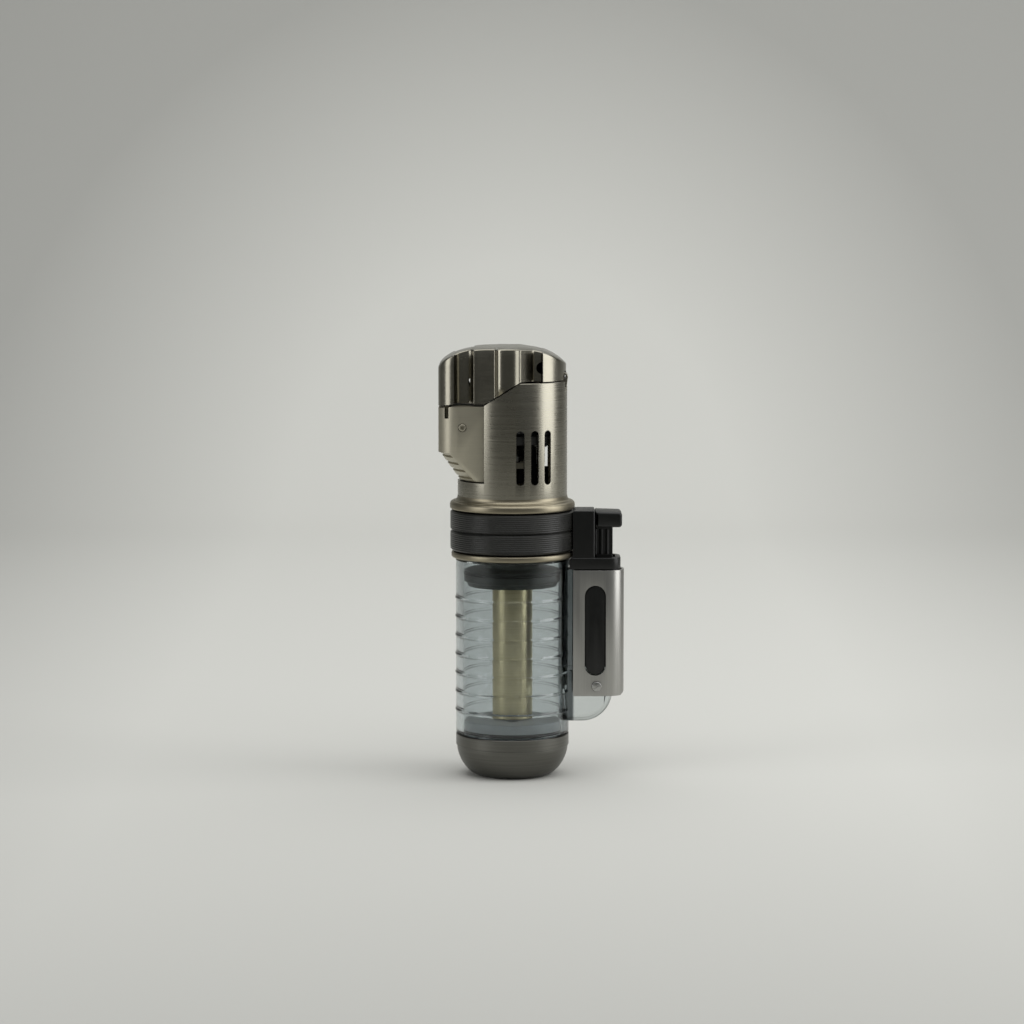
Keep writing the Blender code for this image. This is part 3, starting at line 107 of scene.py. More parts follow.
def mesh_of(name, points, faces):
    """An object from points in millimetres: doubles merged, so that poles close, and faces turned out."""
    mesh = bpy.data.meshes.new(name)
    mesh.from_pydata((np.asarray(points).reshape(-1, 3) * MM).tolist(), [], faces)
    work = bmesh.new()
    work.from_mesh(mesh)
    bmesh.ops.remove_doubles(work, verts=work.verts, dist=SAME_POINT)
    bmesh.ops.recalc_face_normals(work, faces=work.faces)
    work.to_mesh(mesh)
    work.free()
    made = bpy.data.objects.new(name, mesh)
    scene.collection.objects.link(made)
    return made


def capped(name, rings):
    """A skin through rings of as many points each, with a flat face over the first ring and the last."""
    rows, columns = rings.shape[:2]
    ends = np.arange(rows * columns).reshape(rows, columns)[[0, -1]].tolist()
    return mesh_of(name, rings, grid_quads(rows, columns, closed=False) + ends)


print("grids, outlines and meshes ready")

# %% Turning and extruding
def around(steps):
    """Even angles round a full circle."""
    return np.linspace(0, math.tau, steps, endpoint=False)


def arc(a, b, radius, angle):
    """The points (a + radius cos angle, b + radius sin angle)."""
    return np.stack([a + radius * np.cos(angle), b + radius * np.sin(angle)], axis=1)


def turned(name, profile, at=(0, 0), steps=160):
    """A turned surface: the profile point (r, z) goes to (r cos a, r sin a, z) for every angle a."""
    r, z = np.asarray(profile, float).T[:, :, None]
    angle = around(steps)[None]
    points = np.stack([at[0] + r * np.cos(angle), at[1] + r * np.sin(angle), z + 0 * angle], axis=-1)
    return mesh_of(name, points, grid_quads(len(r), steps, closed=bool(r[0, 0] > 0)))


def inset(outline, by):
    """The outline moved inwards: each point moves along the sum of its two sides' normals, mitred."""
    ring = np.asarray(outline, float)
    side = np.roll(ring, -1, axis=0) - ring
    side /= np.linalg.norm(side, axis=1, keepdims=True)
    after = np.stack([-side[:, 1], side[:, 0]], axis=1)
    before = np.roll(after, 1, axis=0)
    area = np.sum(ring[:, 0] * np.roll(ring[:, 1], -1) - np.roll(ring[:, 0], -1) * ring[:, 1])
    mitre = (before + after) / (1 + np.sum(before * after, axis=1, keepdims=True))
    return ring + mitre * by * math.copysign(1, area)


AXES, EDGE_STEPS = {"Y": [0, 2, 1], "Z": [0, 1, 2]}, 4


def extruded(name, outline, start, end, along="Z", edge=0.0):
    """An outline carried along an axis; near each end it draws in by edge (1 - sin a) at edge (1 - cos a)."""
    turn = np.linspace(0, math.pi / 2, EDGE_STEPS + 1) if edge else np.array([math.pi / 2])
    draw, rise = edge * (1 - np.sin(turn)), edge * (1 - np.cos(turn))
    draws = np.concatenate([draw, draw[::-1]])
    heights = np.concatenate([start + rise, end - rise[::-1]])
    rings = np.stack([inset(outline, by) if by else np.asarray(outline, float) for by in draws])
    height = np.broadcast_to(heights[:, None, None], rings.shape[:2] + (1,))
    return capped(name, np.concatenate([rings, height], axis=2)[:, :, AXES[along]])


def levels(node):
    """The lowest and the highest z of a node of the frame, to the hundredth of a millimetre."""
    low, high = span(node)
    return round(float(low[2]), 2), round(float(high[2]), 2)


print("makers of surfaces ready, for a torch", levels("lid")[1], "mm tall")

# %% [markdown]
# Holes, pockets and slots are cut as a machinist would cut them: a tool shape is taken away from the blank,
# and the result is baked into the mesh, so that no modifier is left on a finished piece.

# %% Cutting, joining and handing a piece to the frame
def combine(blank, *tools, operation="DIFFERENCE"):
    """Cuts the tools from the blank, joins them to it or keeps what they share, and clears the tools away."""
    for tool in tools:
        cut = blank.modifiers.new("cut", "BOOLEAN")
        cut.operation, cut.solver, cut.object = operation, "EXACT", tool
        shape = blank.evaluated_get(bpy.context.evaluated_depsgraph_get())
        result = bpy.data.meshes.new_from_object(shape)
        blank.modifiers.clear()
        blank.data = result
        bpy.data.objects.remove(tool)


def rounded_box(x0, x1, y0, y1, radius, steps=8):
    """The outline of a rectangle with four corners of one radius."""
    return soften([(x0, y0, radius), (x1, y0, radius), (x1, y1, radius), (x0, y1, radius)], steps)


def rod(name, radius, start, end, at, along="Y", edge=0.0, steps=48):
    """A round bar along an axis, with its ends softened."""
    return extruded(name, arc(*at, radius, around(steps)), start, end, along, edge)


FINISHES = {}


def hand_over(made, finish, slot, *nodes, body="body", sharp=32):
    """Shades a piece, gives it its finish and puts it in the frame in place of its nodes."""
    made.data.materials.clear()
    made.data.materials.append(FINISHES[finish])
    made.data.shade_smooth()
    made.data.set_sharp_from_angle(angle=math.radians(sharp))
    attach(made, body)
    if nodes:
        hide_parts(*nodes)
    print(made.name, len(made.data.polygons), "faces on", body)


print("cutting tools ready")

# %% [markdown]
# ## Camera, floor and light
# The photograph was taken from straight in front and a little above, with a long lens. The aim point and the
# distance are set so that a millimetre of the torch covers four pixels of a square picture.

# %% Camera
AIM = Vector((-0.1, 0, 66.3)) * MM
PITCH = math.radians(6.05)
DISTANCE = 0.858
FRAME_WIDTH = 0.2568

camera_data = bpy.data.cameras.new("photo_camera")
camera_data.sensor_width = 36
camera_data.sensor_fit = "HORIZONTAL"
camera_data.lens = camera_data.sensor_width * DISTANCE / FRAME_WIDTH
camera = bpy.data.objects.new("photo_camera", camera_data)
camera.location = AIM + Vector((0, -math.cos(PITCH), math.sin(PITCH))) * DISTANCE
camera.rotation_euler = (math.pi / 2 - PITCH, 0, 0)
scene.collection.objects.link(camera)
scene.camera = camera
scene.view_settings.view_transform = "Standard"
print("lens", round(camera_data.lens, 1), "mm")

# %% [markdown]
# Finishes are small node trees. One helper adds a node, sets its plain values and links what is a socket.

# %% Node helpers
def shade(tree, kind, inputs=(), **settings):
    """A new shader node: settings are its own, and each input is a value or another node's socket."""
    made = tree.nodes.new("ShaderNode" + kind)
    for key, value in settings.items():
        setattr(made, key, value)
    for key, value in dict(inputs).items():
        if isinstance(value, bpy.types.NodeSocket):
            tree.links.new(value, made.inputs[key])
        else:
            made.inputs[key].default_value = value
    return made


def new_finish(name):
    """Starts a finish: the node tree of a new, empty material and its Object coordinates."""
    FINISHES[name] = finish = bpy.data.materials.new(name)
    finish.use_nodes = True
    finish.node_tree.nodes.clear()
    return finish.node_tree, shade(finish.node_tree, "TexCoord").outputs["Object"]


def speckle(tree, place, scale, detail=3.0):
    """Noise on Object coordinates stretched by a scale for each axis, per millimetre."""
    stretched = shade(tree, "Mapping", {"Vector": place, "Scale": [value / MM for value in scale]})
    noise = {"Vector": stretched.outputs["Vector"], "Scale": 1.0, "Detail": detail, "Roughness": 0.55}
    return shade(tree, "TexNoise", noise).outputs["Fac"]


def spread(tree, value, low, high, start=0.25, end=0.75):
    """A number that runs from low to high as the value runs from start to end."""
    ends = {"Value": value, "From Min": start, "From Max": end, "To Min": low, "To Max": high}
    return shade(tree, "MapRange", ends).outputs["Result"]


def tint(tree, value, colours, places=(0.3, 0.7)):
    """A colour that runs through the given colours as the value passes the place of each."""
    ramp = shade(tree, "ValToRGB", {"Fac": value})
    stops = ramp.color_ramp.elements
    while len(stops) < len(colours):
        stops.new(0.5)
    for stop, position, colour in zip(stops, places, colours):
        stop.position, stop.color = position, (*colour, 1)
    return ramp.outputs["Color"]


def relief(tree, height, depth, strength=0.5):
    """The normals of a bump whose depth is in millimetres."""
    bump = {"Height": height, "Strength": strength, "Distance": depth * MM}
    return shade(tree, "Bump", bump).outputs["Normal"]


def dress(tree, inputs, **inner):
    """Ends a finish with one Principled surface, and with what fills the inside if the piece is clear."""
    surface = shade(tree, "BsdfPrincipled", inputs)
    shade(tree, "OutputMaterial", {"Surface": surface.outputs["BSDF"], **inner})


print("node helpers ready")

# %% [markdown]
# The torch stands on a long sheet of paper that curves up behind it, so no line parts floor and wall. A
# modifier could bend a plane; a profile carried along X is shorter. The sheet is pale under the torch and
# paler up the backdrop. Painted shade darkens it towards the sides, and makes it dark and warm far in
# front, where the lower rings mirror it.

# %% Floor and backdrop
SWEEP_BACK, SWEEP_RADIUS, SWEEP_TOP, SWEEP_FRONT, SWEEP_HALF = 0.55, 0.35, 1.3, -1.6, 1.8


def paper_sheet():
    """A floor that curves up into a backdrop: the profile (y, z) carried along X."""
    turn = np.linspace(0, math.pi / 2, 25)
    bend_y = SWEEP_BACK + SWEEP_RADIUS * np.sin(turn)
    bend_z = SWEEP_RADIUS * (1 - np.cos(turn))
    y = np.concatenate([[SWEEP_FRONT], bend_y, [SWEEP_BACK + SWEEP_RADIUS]])
    z = np.concatenate([[0.0], bend_z, [SWEEP_TOP]])
    points = np.stack(np.broadcast_arrays([-SWEEP_HALF, SWEEP_HALF], y[:, None], z[:, None]), axis=-1)
    first = np.arange(len(y) - 1) * 2
    faces = np.stack([first, first + 1, first + 3, first + 2], axis=1).tolist()
    mesh = bpy.data.meshes.new("paper_sweep")
    mesh.from_pydata(points.reshape(-1, 3).tolist(), [], faces)
    mesh.shade_smooth()
    return bpy.data.objects.new("paper_sweep", mesh)


paper = paper_sheet()
scene.collection.objects.link(paper)
tree, place = new_finish("pale_paper")
FRONT_SHADE_WARM, PALE = np.array((1, 0.92, 0.7)), np.array((1, 1, 0.945))
# The dark warm stop far in front is painted shade, which the lower rings mirror.
PAPER_SHADES = {-0.36: 0.055 * FRONT_SHADE_WARM, -0.26: 0.50 * PALE, 0.0: 0.60 * PALE, 0.6: 0.72 * PALE}
SIDE_SHADE_START, SIDE_SHADE_END, SIDE_SHADE_LEFT = 0.1, 0.25, 0.65
depth = shade(tree, "SeparateXYZ", {"Vector": place}).outputs["Y"]
near, far = min(PAPER_SHADES), max(PAPER_SHADES)
along = tint(tree, spread(tree, depth, 0, 1, near, far), list(PAPER_SHADES.values()),
             [(y - near) / (far - near) for y in PAPER_SHADES])
# Painted shade: the colour darkens away from the middle, across and upwards.
aside = shade(tree, "Mapping", {"Vector": place, "Scale": (1, 0, 1)}).outputs["Vector"]
side_shade = tint(tree, shade(tree, "VectorMath", {0: aside}, operation="LENGTH").outputs["Value"],
            [(1, 1, 1), (SIDE_SHADE_LEFT,) * 3], (SIDE_SHADE_START, SIDE_SHADE_END))
colour = shade(tree, "MixRGB", {"Fac": 1.0, "Color1": along, "Color2": side_shade}, blend_type="MULTIPLY")
grain = speckle(tree, place, (0.9, 0.9, 0.9))
dress(tree, {"Base Color": colour.outputs["Color"], "Roughness": spread(tree, grain, 0.85, 0.95),
             "Specular IOR Level": 0.1})
paper.data.materials.append(FINISHES["pale_paper"])
print("paper sweep", SWEEP_HALF * 2, "m wide")

# %% [markdown]
# Two tall soft boxes make the two bright bands on the head, and the right one is the stronger. A third one
# hangs overhead and lights the paper, and the room around is a dim grey. Area lamps are used instead of a
# picture of a room, because each band on the metal can then be moved by moving one lamp.

# %% Lights
LIT_POINT = Vector((0, 0, 0.06))


def soft_box(name, turn, distance, height, width, tall, power):
    """A rectangular lamp that faces the torch, turned by degrees from the camera's side towards +X."""
    lamp = bpy.data.lights.new(name, "AREA")
    lamp.shape, lamp.size, lamp.size_y, lamp.energy = "RECTANGLE", width, tall, power
    made = bpy.data.objects.new(name, lamp)
    turn = math.radians(turn)
    made.location = (distance * math.sin(turn), -distance * math.cos(turn), height)
    made.rotation_euler = (LIT_POINT - made.location).to_track_quat("-Z", "Y").to_euler()
    scene.collection.objects.link(made)


soft_box("right_box", 80, 0.55, 0.17, 0.36, 0.5, 1.65)
soft_box("left_box", -64, 0.6, 0.19, 0.30, 0.5, 1.05)
soft_box("top_box", 90, 0.12, 0.75, 1.5, 1.2, 8.8)

world = bpy.data.worlds.new("grey_room")
world.use_nodes = True
room_light = world.node_tree.nodes["Background"].inputs
room_light["Color"].default_value, room_light["Strength"].default_value = (0.97, 1.0, 1.0, 1), 0.15
scene.world = world
print("three soft boxes and a grey room")

# %% [markdown]
# ## Finishes
# Metal that was brushed shows fine streaks along the brush's way. A picture of scratches would need an
# unwrapped surface; noise on Object coordinates, squeezed hard across the streaks and stretched along them,
# needs none. It drives the colour, the roughness and a shallow bump, and a coarser cloud adds wear.

# %% Metal finishes
AROUND, UPWARDS, FINE = (0.03, 0.03, 3.2), (3.2, 3.2, 0.03), (4.0, 4.0, 4.0)
CLOUD, STREAK_WEAR = (0.22, 0.22, 0.22), 0.03


def metal(name, colour, rough, streak, depth, contrast=0.10, wear=0.04):
    """A metal with streaks of a scale per millimetre for each axis, a depth in millimetres and a contrast."""
    tree, place = new_finish(name)
    lines = speckle(tree, place, streak, detail=4.0)
    cloud = speckle(tree, place, CLOUD, detail=4.0)
    dark = [value * (1 - contrast) for value in colour]
    light = [min(value * (1 + contrast), 1) for value in colour]
    bump = relief(tree, lines, depth)
    worn = spread(tree, cloud, rough - wear, rough + wear)
    streaks = spread(tree, lines, -STREAK_WEAR, STREAK_WEAR)
    gloss = shade(tree, "Math", {0: worn, 1: streaks}, operation="ADD")
    dress(tree, {
        "Base Color": tint(tree, lines, [dark, light]), "Metallic": 1.0, "Roughness": gloss.outputs[0],
        "Normal": bump})


metal("brushed_head", (0.30, 0.285, 0.235), 0.28, AROUND, 0.0014, 0.05, 0.015)
metal("polished_lid", (0.29, 0.275, 0.225), 0.24, (0.5, 0.5, 3.0), 0.001, 0.05, 0.02)
metal("satin_trigger", (0.46, 0.432, 0.345), 0.46, (0.1, 0.1, 3.0), 0.002, 0.04, 0.02)
metal("warm_ring", (0.28, 0.25, 0.182), 0.36, AROUND, 0.001, 0.06, 0.02)
metal("dark_base", (0.13, 0.128, 0.115), 0.36, AROUND, 0.002, 0.12)
metal("brushed_sleeve", (0.38, 0.376, 0.356), 0.34, UPWARDS, 0.001, 0.06, 0.02)
metal("plain_steel", (0.40, 0.40, 0.385), 0.24, FINE, 0.001)
metal("turned_brass", (0.72, 0.62, 0.38), 0.4, AROUND, 0.002)
print("metals ready")

# %% [markdown]
# Plastics and rubber have a fine moulded grain. The clear tank is a real shell with two surfaces, so the
# bending of light at its walls is left to the renderer. Its smoky look comes from the wall itself, which
# takes up a little light on the way through; a dark tint where the lug joins the tube is painted shade.

# %% Plastics, rubber, ceramic and the clear shell
GRAIN_WEAR = 0.08
SMOKE, SMOKE_DENSITY, SHELL_IOR = (0.45, 0.52, 0.54, 1), 90.0, 1.46
TINT_AND_SHADE_START, TINT_AND_SHADE_END, TINT_AND_SHADE_PLACES = 13.0, 16.0, (0.1, 0.23, 0.73, 0.87)


def moulded(name, dark, light, rough, grain=(2.5, 2.5, 2.5), depth=0.006, shine=0.5):
    """A moulded plastic or rubber: a fine even grain in colour, roughness and bump."""
    tree, place = new_finish(name)
    fine = speckle(tree, place, grain, detail=4.0)
    cloud = speckle(tree, place, (0.3,) * 3)
    bump = relief(tree, fine, depth)
    dress(tree, {
        "Base Color": tint(tree, cloud, [dark, light]),
        "Roughness": spread(tree, fine, rough - GRAIN_WEAR, rough + GRAIN_WEAR),
        "Specular IOR Level": shine, "Normal": bump})


def clear_shell(name, tank, lug_join_shade, lug):
    """A clear plastic with faint flow marks; its tint runs along x from tank to lug, with painted shade where
    they join.
    """
    tree, place = new_finish(name)
    flow = speckle(tree, place, (0.25, 0.25, 0.06), detail=2.0)
    across = shade(tree, "SeparateXYZ", {"Vector": place}).outputs["X"]
    zone = spread(tree, across, 0, 1, TINT_AND_SHADE_START * MM, TINT_AND_SHADE_END * MM)
    bump = relief(tree, flow, 0.02, 0.2)
    smoke = shade(tree, "VolumeAbsorption", {"Color": SMOKE, "Density": SMOKE_DENSITY})
    dress(tree, {
        # The two middle stops are painted shade where the lug joins the tube.
        "Base Color": tint(tree, zone, [tank, lug_join_shade, lug_join_shade, lug], TINT_AND_SHADE_PLACES),
        "Roughness": spread(tree, flow, 0.03, 0.06), "IOR": SHELL_IOR, "Transmission Weight": 1.0,
        "Normal": bump}, Volume=smoke.outputs["Volume"])


moulded("black_plastic", (0.002, 0.0022, 0.0018), (0.004, 0.0043, 0.0036), 0.36, shine=0.4)
moulded("grey_plastic", (0.50, 0.52, 0.52), (0.58, 0.60, 0.60), 0.45)
moulded("neck_plastic", (0.13, 0.14, 0.12), (0.18, 0.19, 0.165), 0.5)
moulded("plug_plastic", (0.05, 0.054, 0.047), (0.075, 0.08, 0.07), 0.45)
# Near black: painted shade for inner parts seen only through slots and gaps.
moulded("shade_black_plastic", (0.008, 0.008, 0.007), (0.014, 0.014, 0.012), 0.6)
moulded("band_rubber", (0.006, 0.006, 0.005), (0.014, 0.014, 0.012), 0.34,
        grain=(0.06, 0.06, 2.2), depth=0.02, shine=0.4)
moulded("ring_rubber", (0.012, 0.012, 0.011), (0.02, 0.02, 0.018), 0.5)
moulded("white_ceramic", (0.62, 0.62, 0.58), (0.72, 0.72, 0.68), 0.35)
moulded("wire_jacket", (0.035, 0.035, 0.035), (0.05, 0.05, 0.05), 0.45)
# The second colour is painted shade where the lug joins the tube.
clear_shell("clear_tank", (0.73, 0.765, 0.775), (0.12, 0.135, 0.14), (0.97, 0.98, 0.97))
print(len(FINISHES), "finishes ready")

# %% [markdown]
# ## Base
# The cup that closes the foot of the tank is a turned part: a flat foot, a full curve up to the wall, a thin
# groove, and a plain band whose lip the tank stands in. The filler and the flame dial open through its floor.
# A profile spun round gives the cup; holes drawn in the profile would run all round, so they are cut after.

# %% Base cup, flame dial and filler
CUP_R, CUP_TOP = 14.2, levels("base_cup")[1]
FOOT_R, CUP_POWER, CUP_FLOOR = 8.6, 1.7, CUP_TOP - 5.1
BOWL_TOP, BOWL_STEP = CUP_TOP - 3.2, 0.25
DIAL_Y, FILLER_Y = -5.0, 5.0


def cup_profile():
    """Foot, a superellipse corner, a thin groove, the plain band above it, the lip and the inner floor."""
    turn = np.linspace(0, math.pi / 2, 28)
    corner = np.stack([FOOT_R + (CUP_R - BOWL_STEP - FOOT_R) * np.sin(turn) ** (2 / CUP_POWER),
                       BOWL_TOP * (1 - np.cos(turn) ** (2 / CUP_POWER))], axis=1)
    band = [(CUP_R - BOWL_STEP, BOWL_TOP + 0.2), (CUP_R - 0.1, BOWL_TOP + 0.22), (CUP_R, BOWL_TOP + 0.32),
            (CUP_R, CUP_TOP - 0.2), (CUP_R - 0.2, CUP_TOP)]
    inside = [(13.4, CUP_TOP), (13.4, CUP_FLOOR + 2), (11.4, CUP_FLOOR), (0, CUP_FLOOR)]
    return np.concatenate([[(0, 0)], corner, band, inside])


cup = turned("base_cup_turned", cup_profile(), steps=192)
combine(cup, rod("well", 2.9, -1, 3.0, (0, DIAL_Y), "Z", steps=64), rod("way", 1.5, 2, 7, (0, DIAL_Y), "Z"),
        rod("port", 2.2, -1, 7, (0, FILLER_Y), "Z", steps=64))
hand_over(cup, "dark_base", "dark_metal", "base_cup")

dial = rod("flame_dial_turned", 2.6, *levels("flame_dial"), (0, DIAL_Y), "Z", edge=0.3, steps=96)
combine(dial, extruded("coin_slot", rounded_box(-4, 4, DIAL_Y - 0.35, DIAL_Y + 0.35, 0.1), 0, 1.3))
hand_over(dial, "turned_brass", "brass", "flame_dial", body="dial")

FILLER_LOW, FILLER_TOP = levels("filler_body")
filler = turned("filler_body_turned", soften([
    (1.15, FILLER_LOW, 0.25), (1.9, FILLER_LOW, 0.15), (1.9, CUP_FLOOR + 0.3, 0),
    (2.8, CUP_FLOOR + 0.3, 0.15), (2.8, CUP_FLOOR + 1.2, 0.15), (1.9, CUP_FLOOR + 1.2, 0),
    (1.9, FILLER_TOP, 0.2), (1.15, FILLER_TOP, 0)]), at=(0, FILLER_Y), steps=64)
hand_over(filler, "turned_brass", "brass", "filler_body")

# %% [markdown]
# ## Tank
# The tank is one moulding: a clear tube with seven thin raised ribs, and a lug on the right that carries the
# sparking unit. The tube and its ribs are one profile spun round; the lug is an outline carried across and
# joined on. Both surfaces of the wall are there, so the wall bends light as the real one does.

# %% Clear tank
TANK_R, TANK_BORE = 14.2, 12.4
TANK_FOOT, TANK_TOP = levels("tank_body")
TANK_LOW = CUP_TOP + 0.3
RIB_TOP, RIB_PITCH, RIB_COUNT, RIB_WIDE, RIB_PROUD = TANK_TOP - 9.8, 4.72, 7, 1.1, 0.2
SLEEVE_LOW, SLEEVE_TOP = levels("igniter_sleeve")
CORE_LOW = levels("igniter_frame")[0]
LUG_LOW, LUG_TOP, LUG_HALF, LUG_ROOT, LUG_OUT, LUG_CORNER = 13.8, CORE_LOW - 0.3, 3.6, 13.2, 25.0, 7.5
SCREW = 21.1, SLEEVE_LOW + 2.5


def tank_profile():
    """The outer wall with a rounded bump for each rib, then the bore."""
    z = np.linspace(TANK_LOW + 0.2, TANK_TOP - 0.3, 520)
    middles = RIB_TOP - RIB_PITCH * np.arange(RIB_COUNT)
    away = np.min(np.abs(z[:, None] - middles), axis=1) / (RIB_WIDE / 2)
    wall = np.stack([TANK_R + RIB_PROUD * np.where(away < 1, np.cos(away * math.pi / 2) ** 2, 0), z], axis=1)
    foot = [(TANK_BORE, TANK_FOOT), (13.1, TANK_FOOT), (13.1, TANK_LOW), (TANK_R - 0.2, TANK_LOW)]
    head = [(TANK_R - 0.3, TANK_TOP), (TANK_BORE, TANK_TOP)]
    return np.concatenate([foot, wall, head])


tank = turned("tank_body_moulded", tank_profile(), steps=192)
lug_outline = soften([(LUG_ROOT, LUG_LOW, 0), (LUG_OUT, LUG_LOW, LUG_CORNER), (LUG_OUT, LUG_TOP, 0.4),
                      (LUG_ROOT, LUG_TOP, 0)], 16)
lug = extruded("lug", lug_outline, -LUG_HALF, LUG_HALF, "Y", edge=1.0)
spine = extruded("spine", rounded_box(LUG_ROOT, 15.2, -3, 3, 0.3), LUG_LOW + LUG_CORNER, SLEEVE_TOP)
combine(tank, lug, spine, operation="UNION")
combine(tank, rod("screw_way", 1.0, -5.2, -0.7, SCREW))
hand_over(tank, "clear_tank", "clear_smoke", "tank_body")

# %% [markdown]
# Inside the tank a turned tube ties the two plugs together, and each plug carries a sealing ring in a groove.
# They show through the wall, so their corners are rounded as turned and moulded corners are. The neck of the
# top plug is a piece of its own, because it is paler than the dark land below it.

# %% Tube, plugs and sealing rings
def pipe_profile(bore, radius, low, top, inner, outer, steps=6):
    """Half section of a pipe whose inner and outer corners are rounded by a radius each."""
    return soften([(bore, low, inner), (radius, low, outer), (radius, top, outer), (bore, top, inner)], steps)


tube = turned("centre_tube_turned", pipe_profile(3.9, 5.0, *levels("centre_tube"), 0.2, 0.3), steps=96)
hand_over(tube, "turned_brass", "brass", "centre_tube")

PLUG_R, GROOVE_R, NECK_R, BOSS_R, PLUG_BORE, CAP_R = 12.1, 11.2, 6.6, 3.6, 4.3, 13.3
PLUG_LOW, BOSS_TOP = levels("tank_bottom_plug")
PLUG_TOP = PLUG_LOW + 5.6
low_groove, top_groove = levels("lower_o_ring"), levels("upper_o_ring")
low_plug = turned("tank_bottom_plug_moulded", soften([
    (0, PLUG_LOW, 0), (11.6, PLUG_LOW, 0.4), (PLUG_R, PLUG_LOW + 1, 0.2), (PLUG_R, low_groove[0], 0.1),
    (GROOVE_R, low_groove[0], 0.1), (GROOVE_R, low_groove[1], 0.1), (PLUG_R, low_groove[1], 0.1),
    (PLUG_R, PLUG_TOP, 0.4), (BOSS_R, PLUG_TOP, 0.3), (BOSS_R, BOSS_TOP, 0.4), (0, BOSS_TOP, 0)]))
STOPPER_LOW, STOPPER_TOP = levels("tank_top_plug")
LAND_TOP, CAP_LOW = top_groove[1] + 0.25, TANK_TOP + 0.3
top_plug = turned("tank_top_plug_moulded", soften([
    (PLUG_BORE, STOPPER_LOW, 0.2), (11.1, STOPPER_LOW, 0.3), (11.5, STOPPER_LOW + 1, 0.2),
    (PLUG_R, STOPPER_LOW + 1.4, 0.2), (PLUG_R, top_groove[0], 0.1), (GROOVE_R, top_groove[0], 0.1),
    (GROOVE_R, top_groove[1], 0.1), (PLUG_R, top_groove[1], 0.05), (PLUG_R, LAND_TOP, 0.1),
    (PLUG_BORE, LAND_TOP, 0)]))
plug_neck = turned("plug_neck_moulded", soften([
    (PLUG_BORE, LAND_TOP, 0), (10.8, LAND_TOP, 0), (NECK_R, LAND_TOP + 0.3, 0.3), (NECK_R, CAP_LOW, 0.2),
    (CAP_R, CAP_LOW, 0.1), (CAP_R, STOPPER_TOP, 0.2), (PLUG_BORE, STOPPER_TOP, 0.2)]))
combine(low_plug, rod("filler_way", 2.2, PLUG_LOW - 1, FILLER_TOP + 1.4, (0, FILLER_Y), "Z"),
        rod("screw_way", 1.5, PLUG_LOW - 1, PLUG_TOP + 1, (0, DIAL_Y), "Z"))
hand_over(low_plug, "grey_plastic", "grey_plastic", "tank_bottom_plug")
hand_over(top_plug, "plug_plastic", "black_plastic", "tank_top_plug")
hand_over(plug_neck, "neck_plastic", "black_plastic")


def sealing_ring(node):
    """A ring of round section in its groove, from the node's box: half its height is the section's radius."""
    low, high = span(node)
    small = (high[2] - low[2]) / 2
    section = arc(high[0] - small, (low[2] + high[2]) / 2, small, around(20))
    hand_over(turned(node + "_moulded", section), "ring_rubber", "rubber", node)


sealing_ring("lower_o_ring")
sealing_ring("upper_o_ring")

# %% [markdown]
# ## Rings and grip band
# The two trim rings are polished turnings with soft corners; the upper one has a bead and a hollow above it.
# A bevel modifier could round a plain ring, but a profile with its own arcs holds each radius exactly.

# %% Trim rings
lower_section = pipe_profile(13.6, 15.3, *levels("lower_trim_ring"), 0, 0.55, 10)
lower_ring = turned("lower_trim_ring_turned", lower_section, steps=192)
hand_over(lower_ring, "warm_ring", "ring_metal", "lower_trim_ring")

UPPER_LOW, UPPER_TOP = levels("upper_trim_ring")
RING_BORE, BEAD_R, BEAD_TOP = 13.2, 15.65, UPPER_LOW + 2.1
COVE_OUT, COVE_R, COVE_LOW, COVE_TOP = 14.6, 13.75, BEAD_TOP + 0.1, levels("head_barrel")[0] + 0.3


def upper_ring_profile():
    """A rounded bead, then a quarter hollow that runs up to the head's foot."""
    bead = soften([(RING_BORE, UPPER_LOW, 0), (BEAD_R, UPPER_LOW, 0.5), (BEAD_R, BEAD_TOP, 0.95),
                   (COVE_OUT + 0.06, BEAD_TOP, 0.04)], 8)
    turn = np.linspace(0, math.pi / 2, 16)
    cove = np.stack([COVE_R + (COVE_OUT - COVE_R) * (1 - np.sin(turn)),
                     COVE_LOW + (COVE_TOP - COVE_LOW) * (1 - np.cos(turn))], axis=1)
    return np.concatenate([bead, cove, [(COVE_R, UPPER_TOP), (RING_BORE, UPPER_TOP)]])


upper_ring = turned("upper_trim_ring_turned", upper_ring_profile(), steps=192)
hand_over(upper_ring, "warm_ring", "ring_metal", "upper_trim_ring")

# %% [markdown]
# The rubber band between the rings has two low swells with a groove between, and fine ribs all the way up.
# A bump could draw the ribs, but a cosine added to the swell's radius also catches the light at the outline.

# %% Grip band
BAND_LOW, BAND_HIGH = levels("grip_band")
BAND_BORE, BAND_R, BAND_DIP, SWELL_RUN = 13.2, 15.6, 0.7, 0.3
BAND_RIB, BAND_RIBS = 0.045, 20


def band_profile():
    """Radius over height: two swells that dip at their ends, with a cosine of fine ribs on top."""
    z = np.linspace(BAND_LOW, BAND_HIGH, 420)
    share = (z - BAND_LOW) / (BAND_HIGH - BAND_LOW) * 2 % 1.0
    end = np.minimum(share, 1 - share) * 2
    swell = np.sqrt(np.clip(1 - (1 - np.minimum(end / SWELL_RUN, 1)) ** 2, 0, 1))
    ribs = BAND_RIB * (np.cos(math.tau * BAND_RIBS * (z - BAND_LOW) / (BAND_HIGH - BAND_LOW)) - 1)
    outer = np.stack([BAND_R - BAND_DIP * (1 - swell) + ribs, z], axis=1)
    return np.concatenate([[(BAND_BORE, BAND_LOW)], outer, [(BAND_BORE, BAND_HIGH)]])


band = turned("grip_band_moulded", band_profile(), steps=128)
hand_over(band, "band_rubber", "rubber", "grip_band", sharp=70)

# %% [markdown]
# ## Head
# The head is a tube of brushed metal. The trigger's side is cut away, the top is cut on a slope, and three
# slots on each face let air in. Two ears at the right carry the lid's pin. The tube is turned first and then
# cut, as on the real part, so the inner wall shows in the slots.

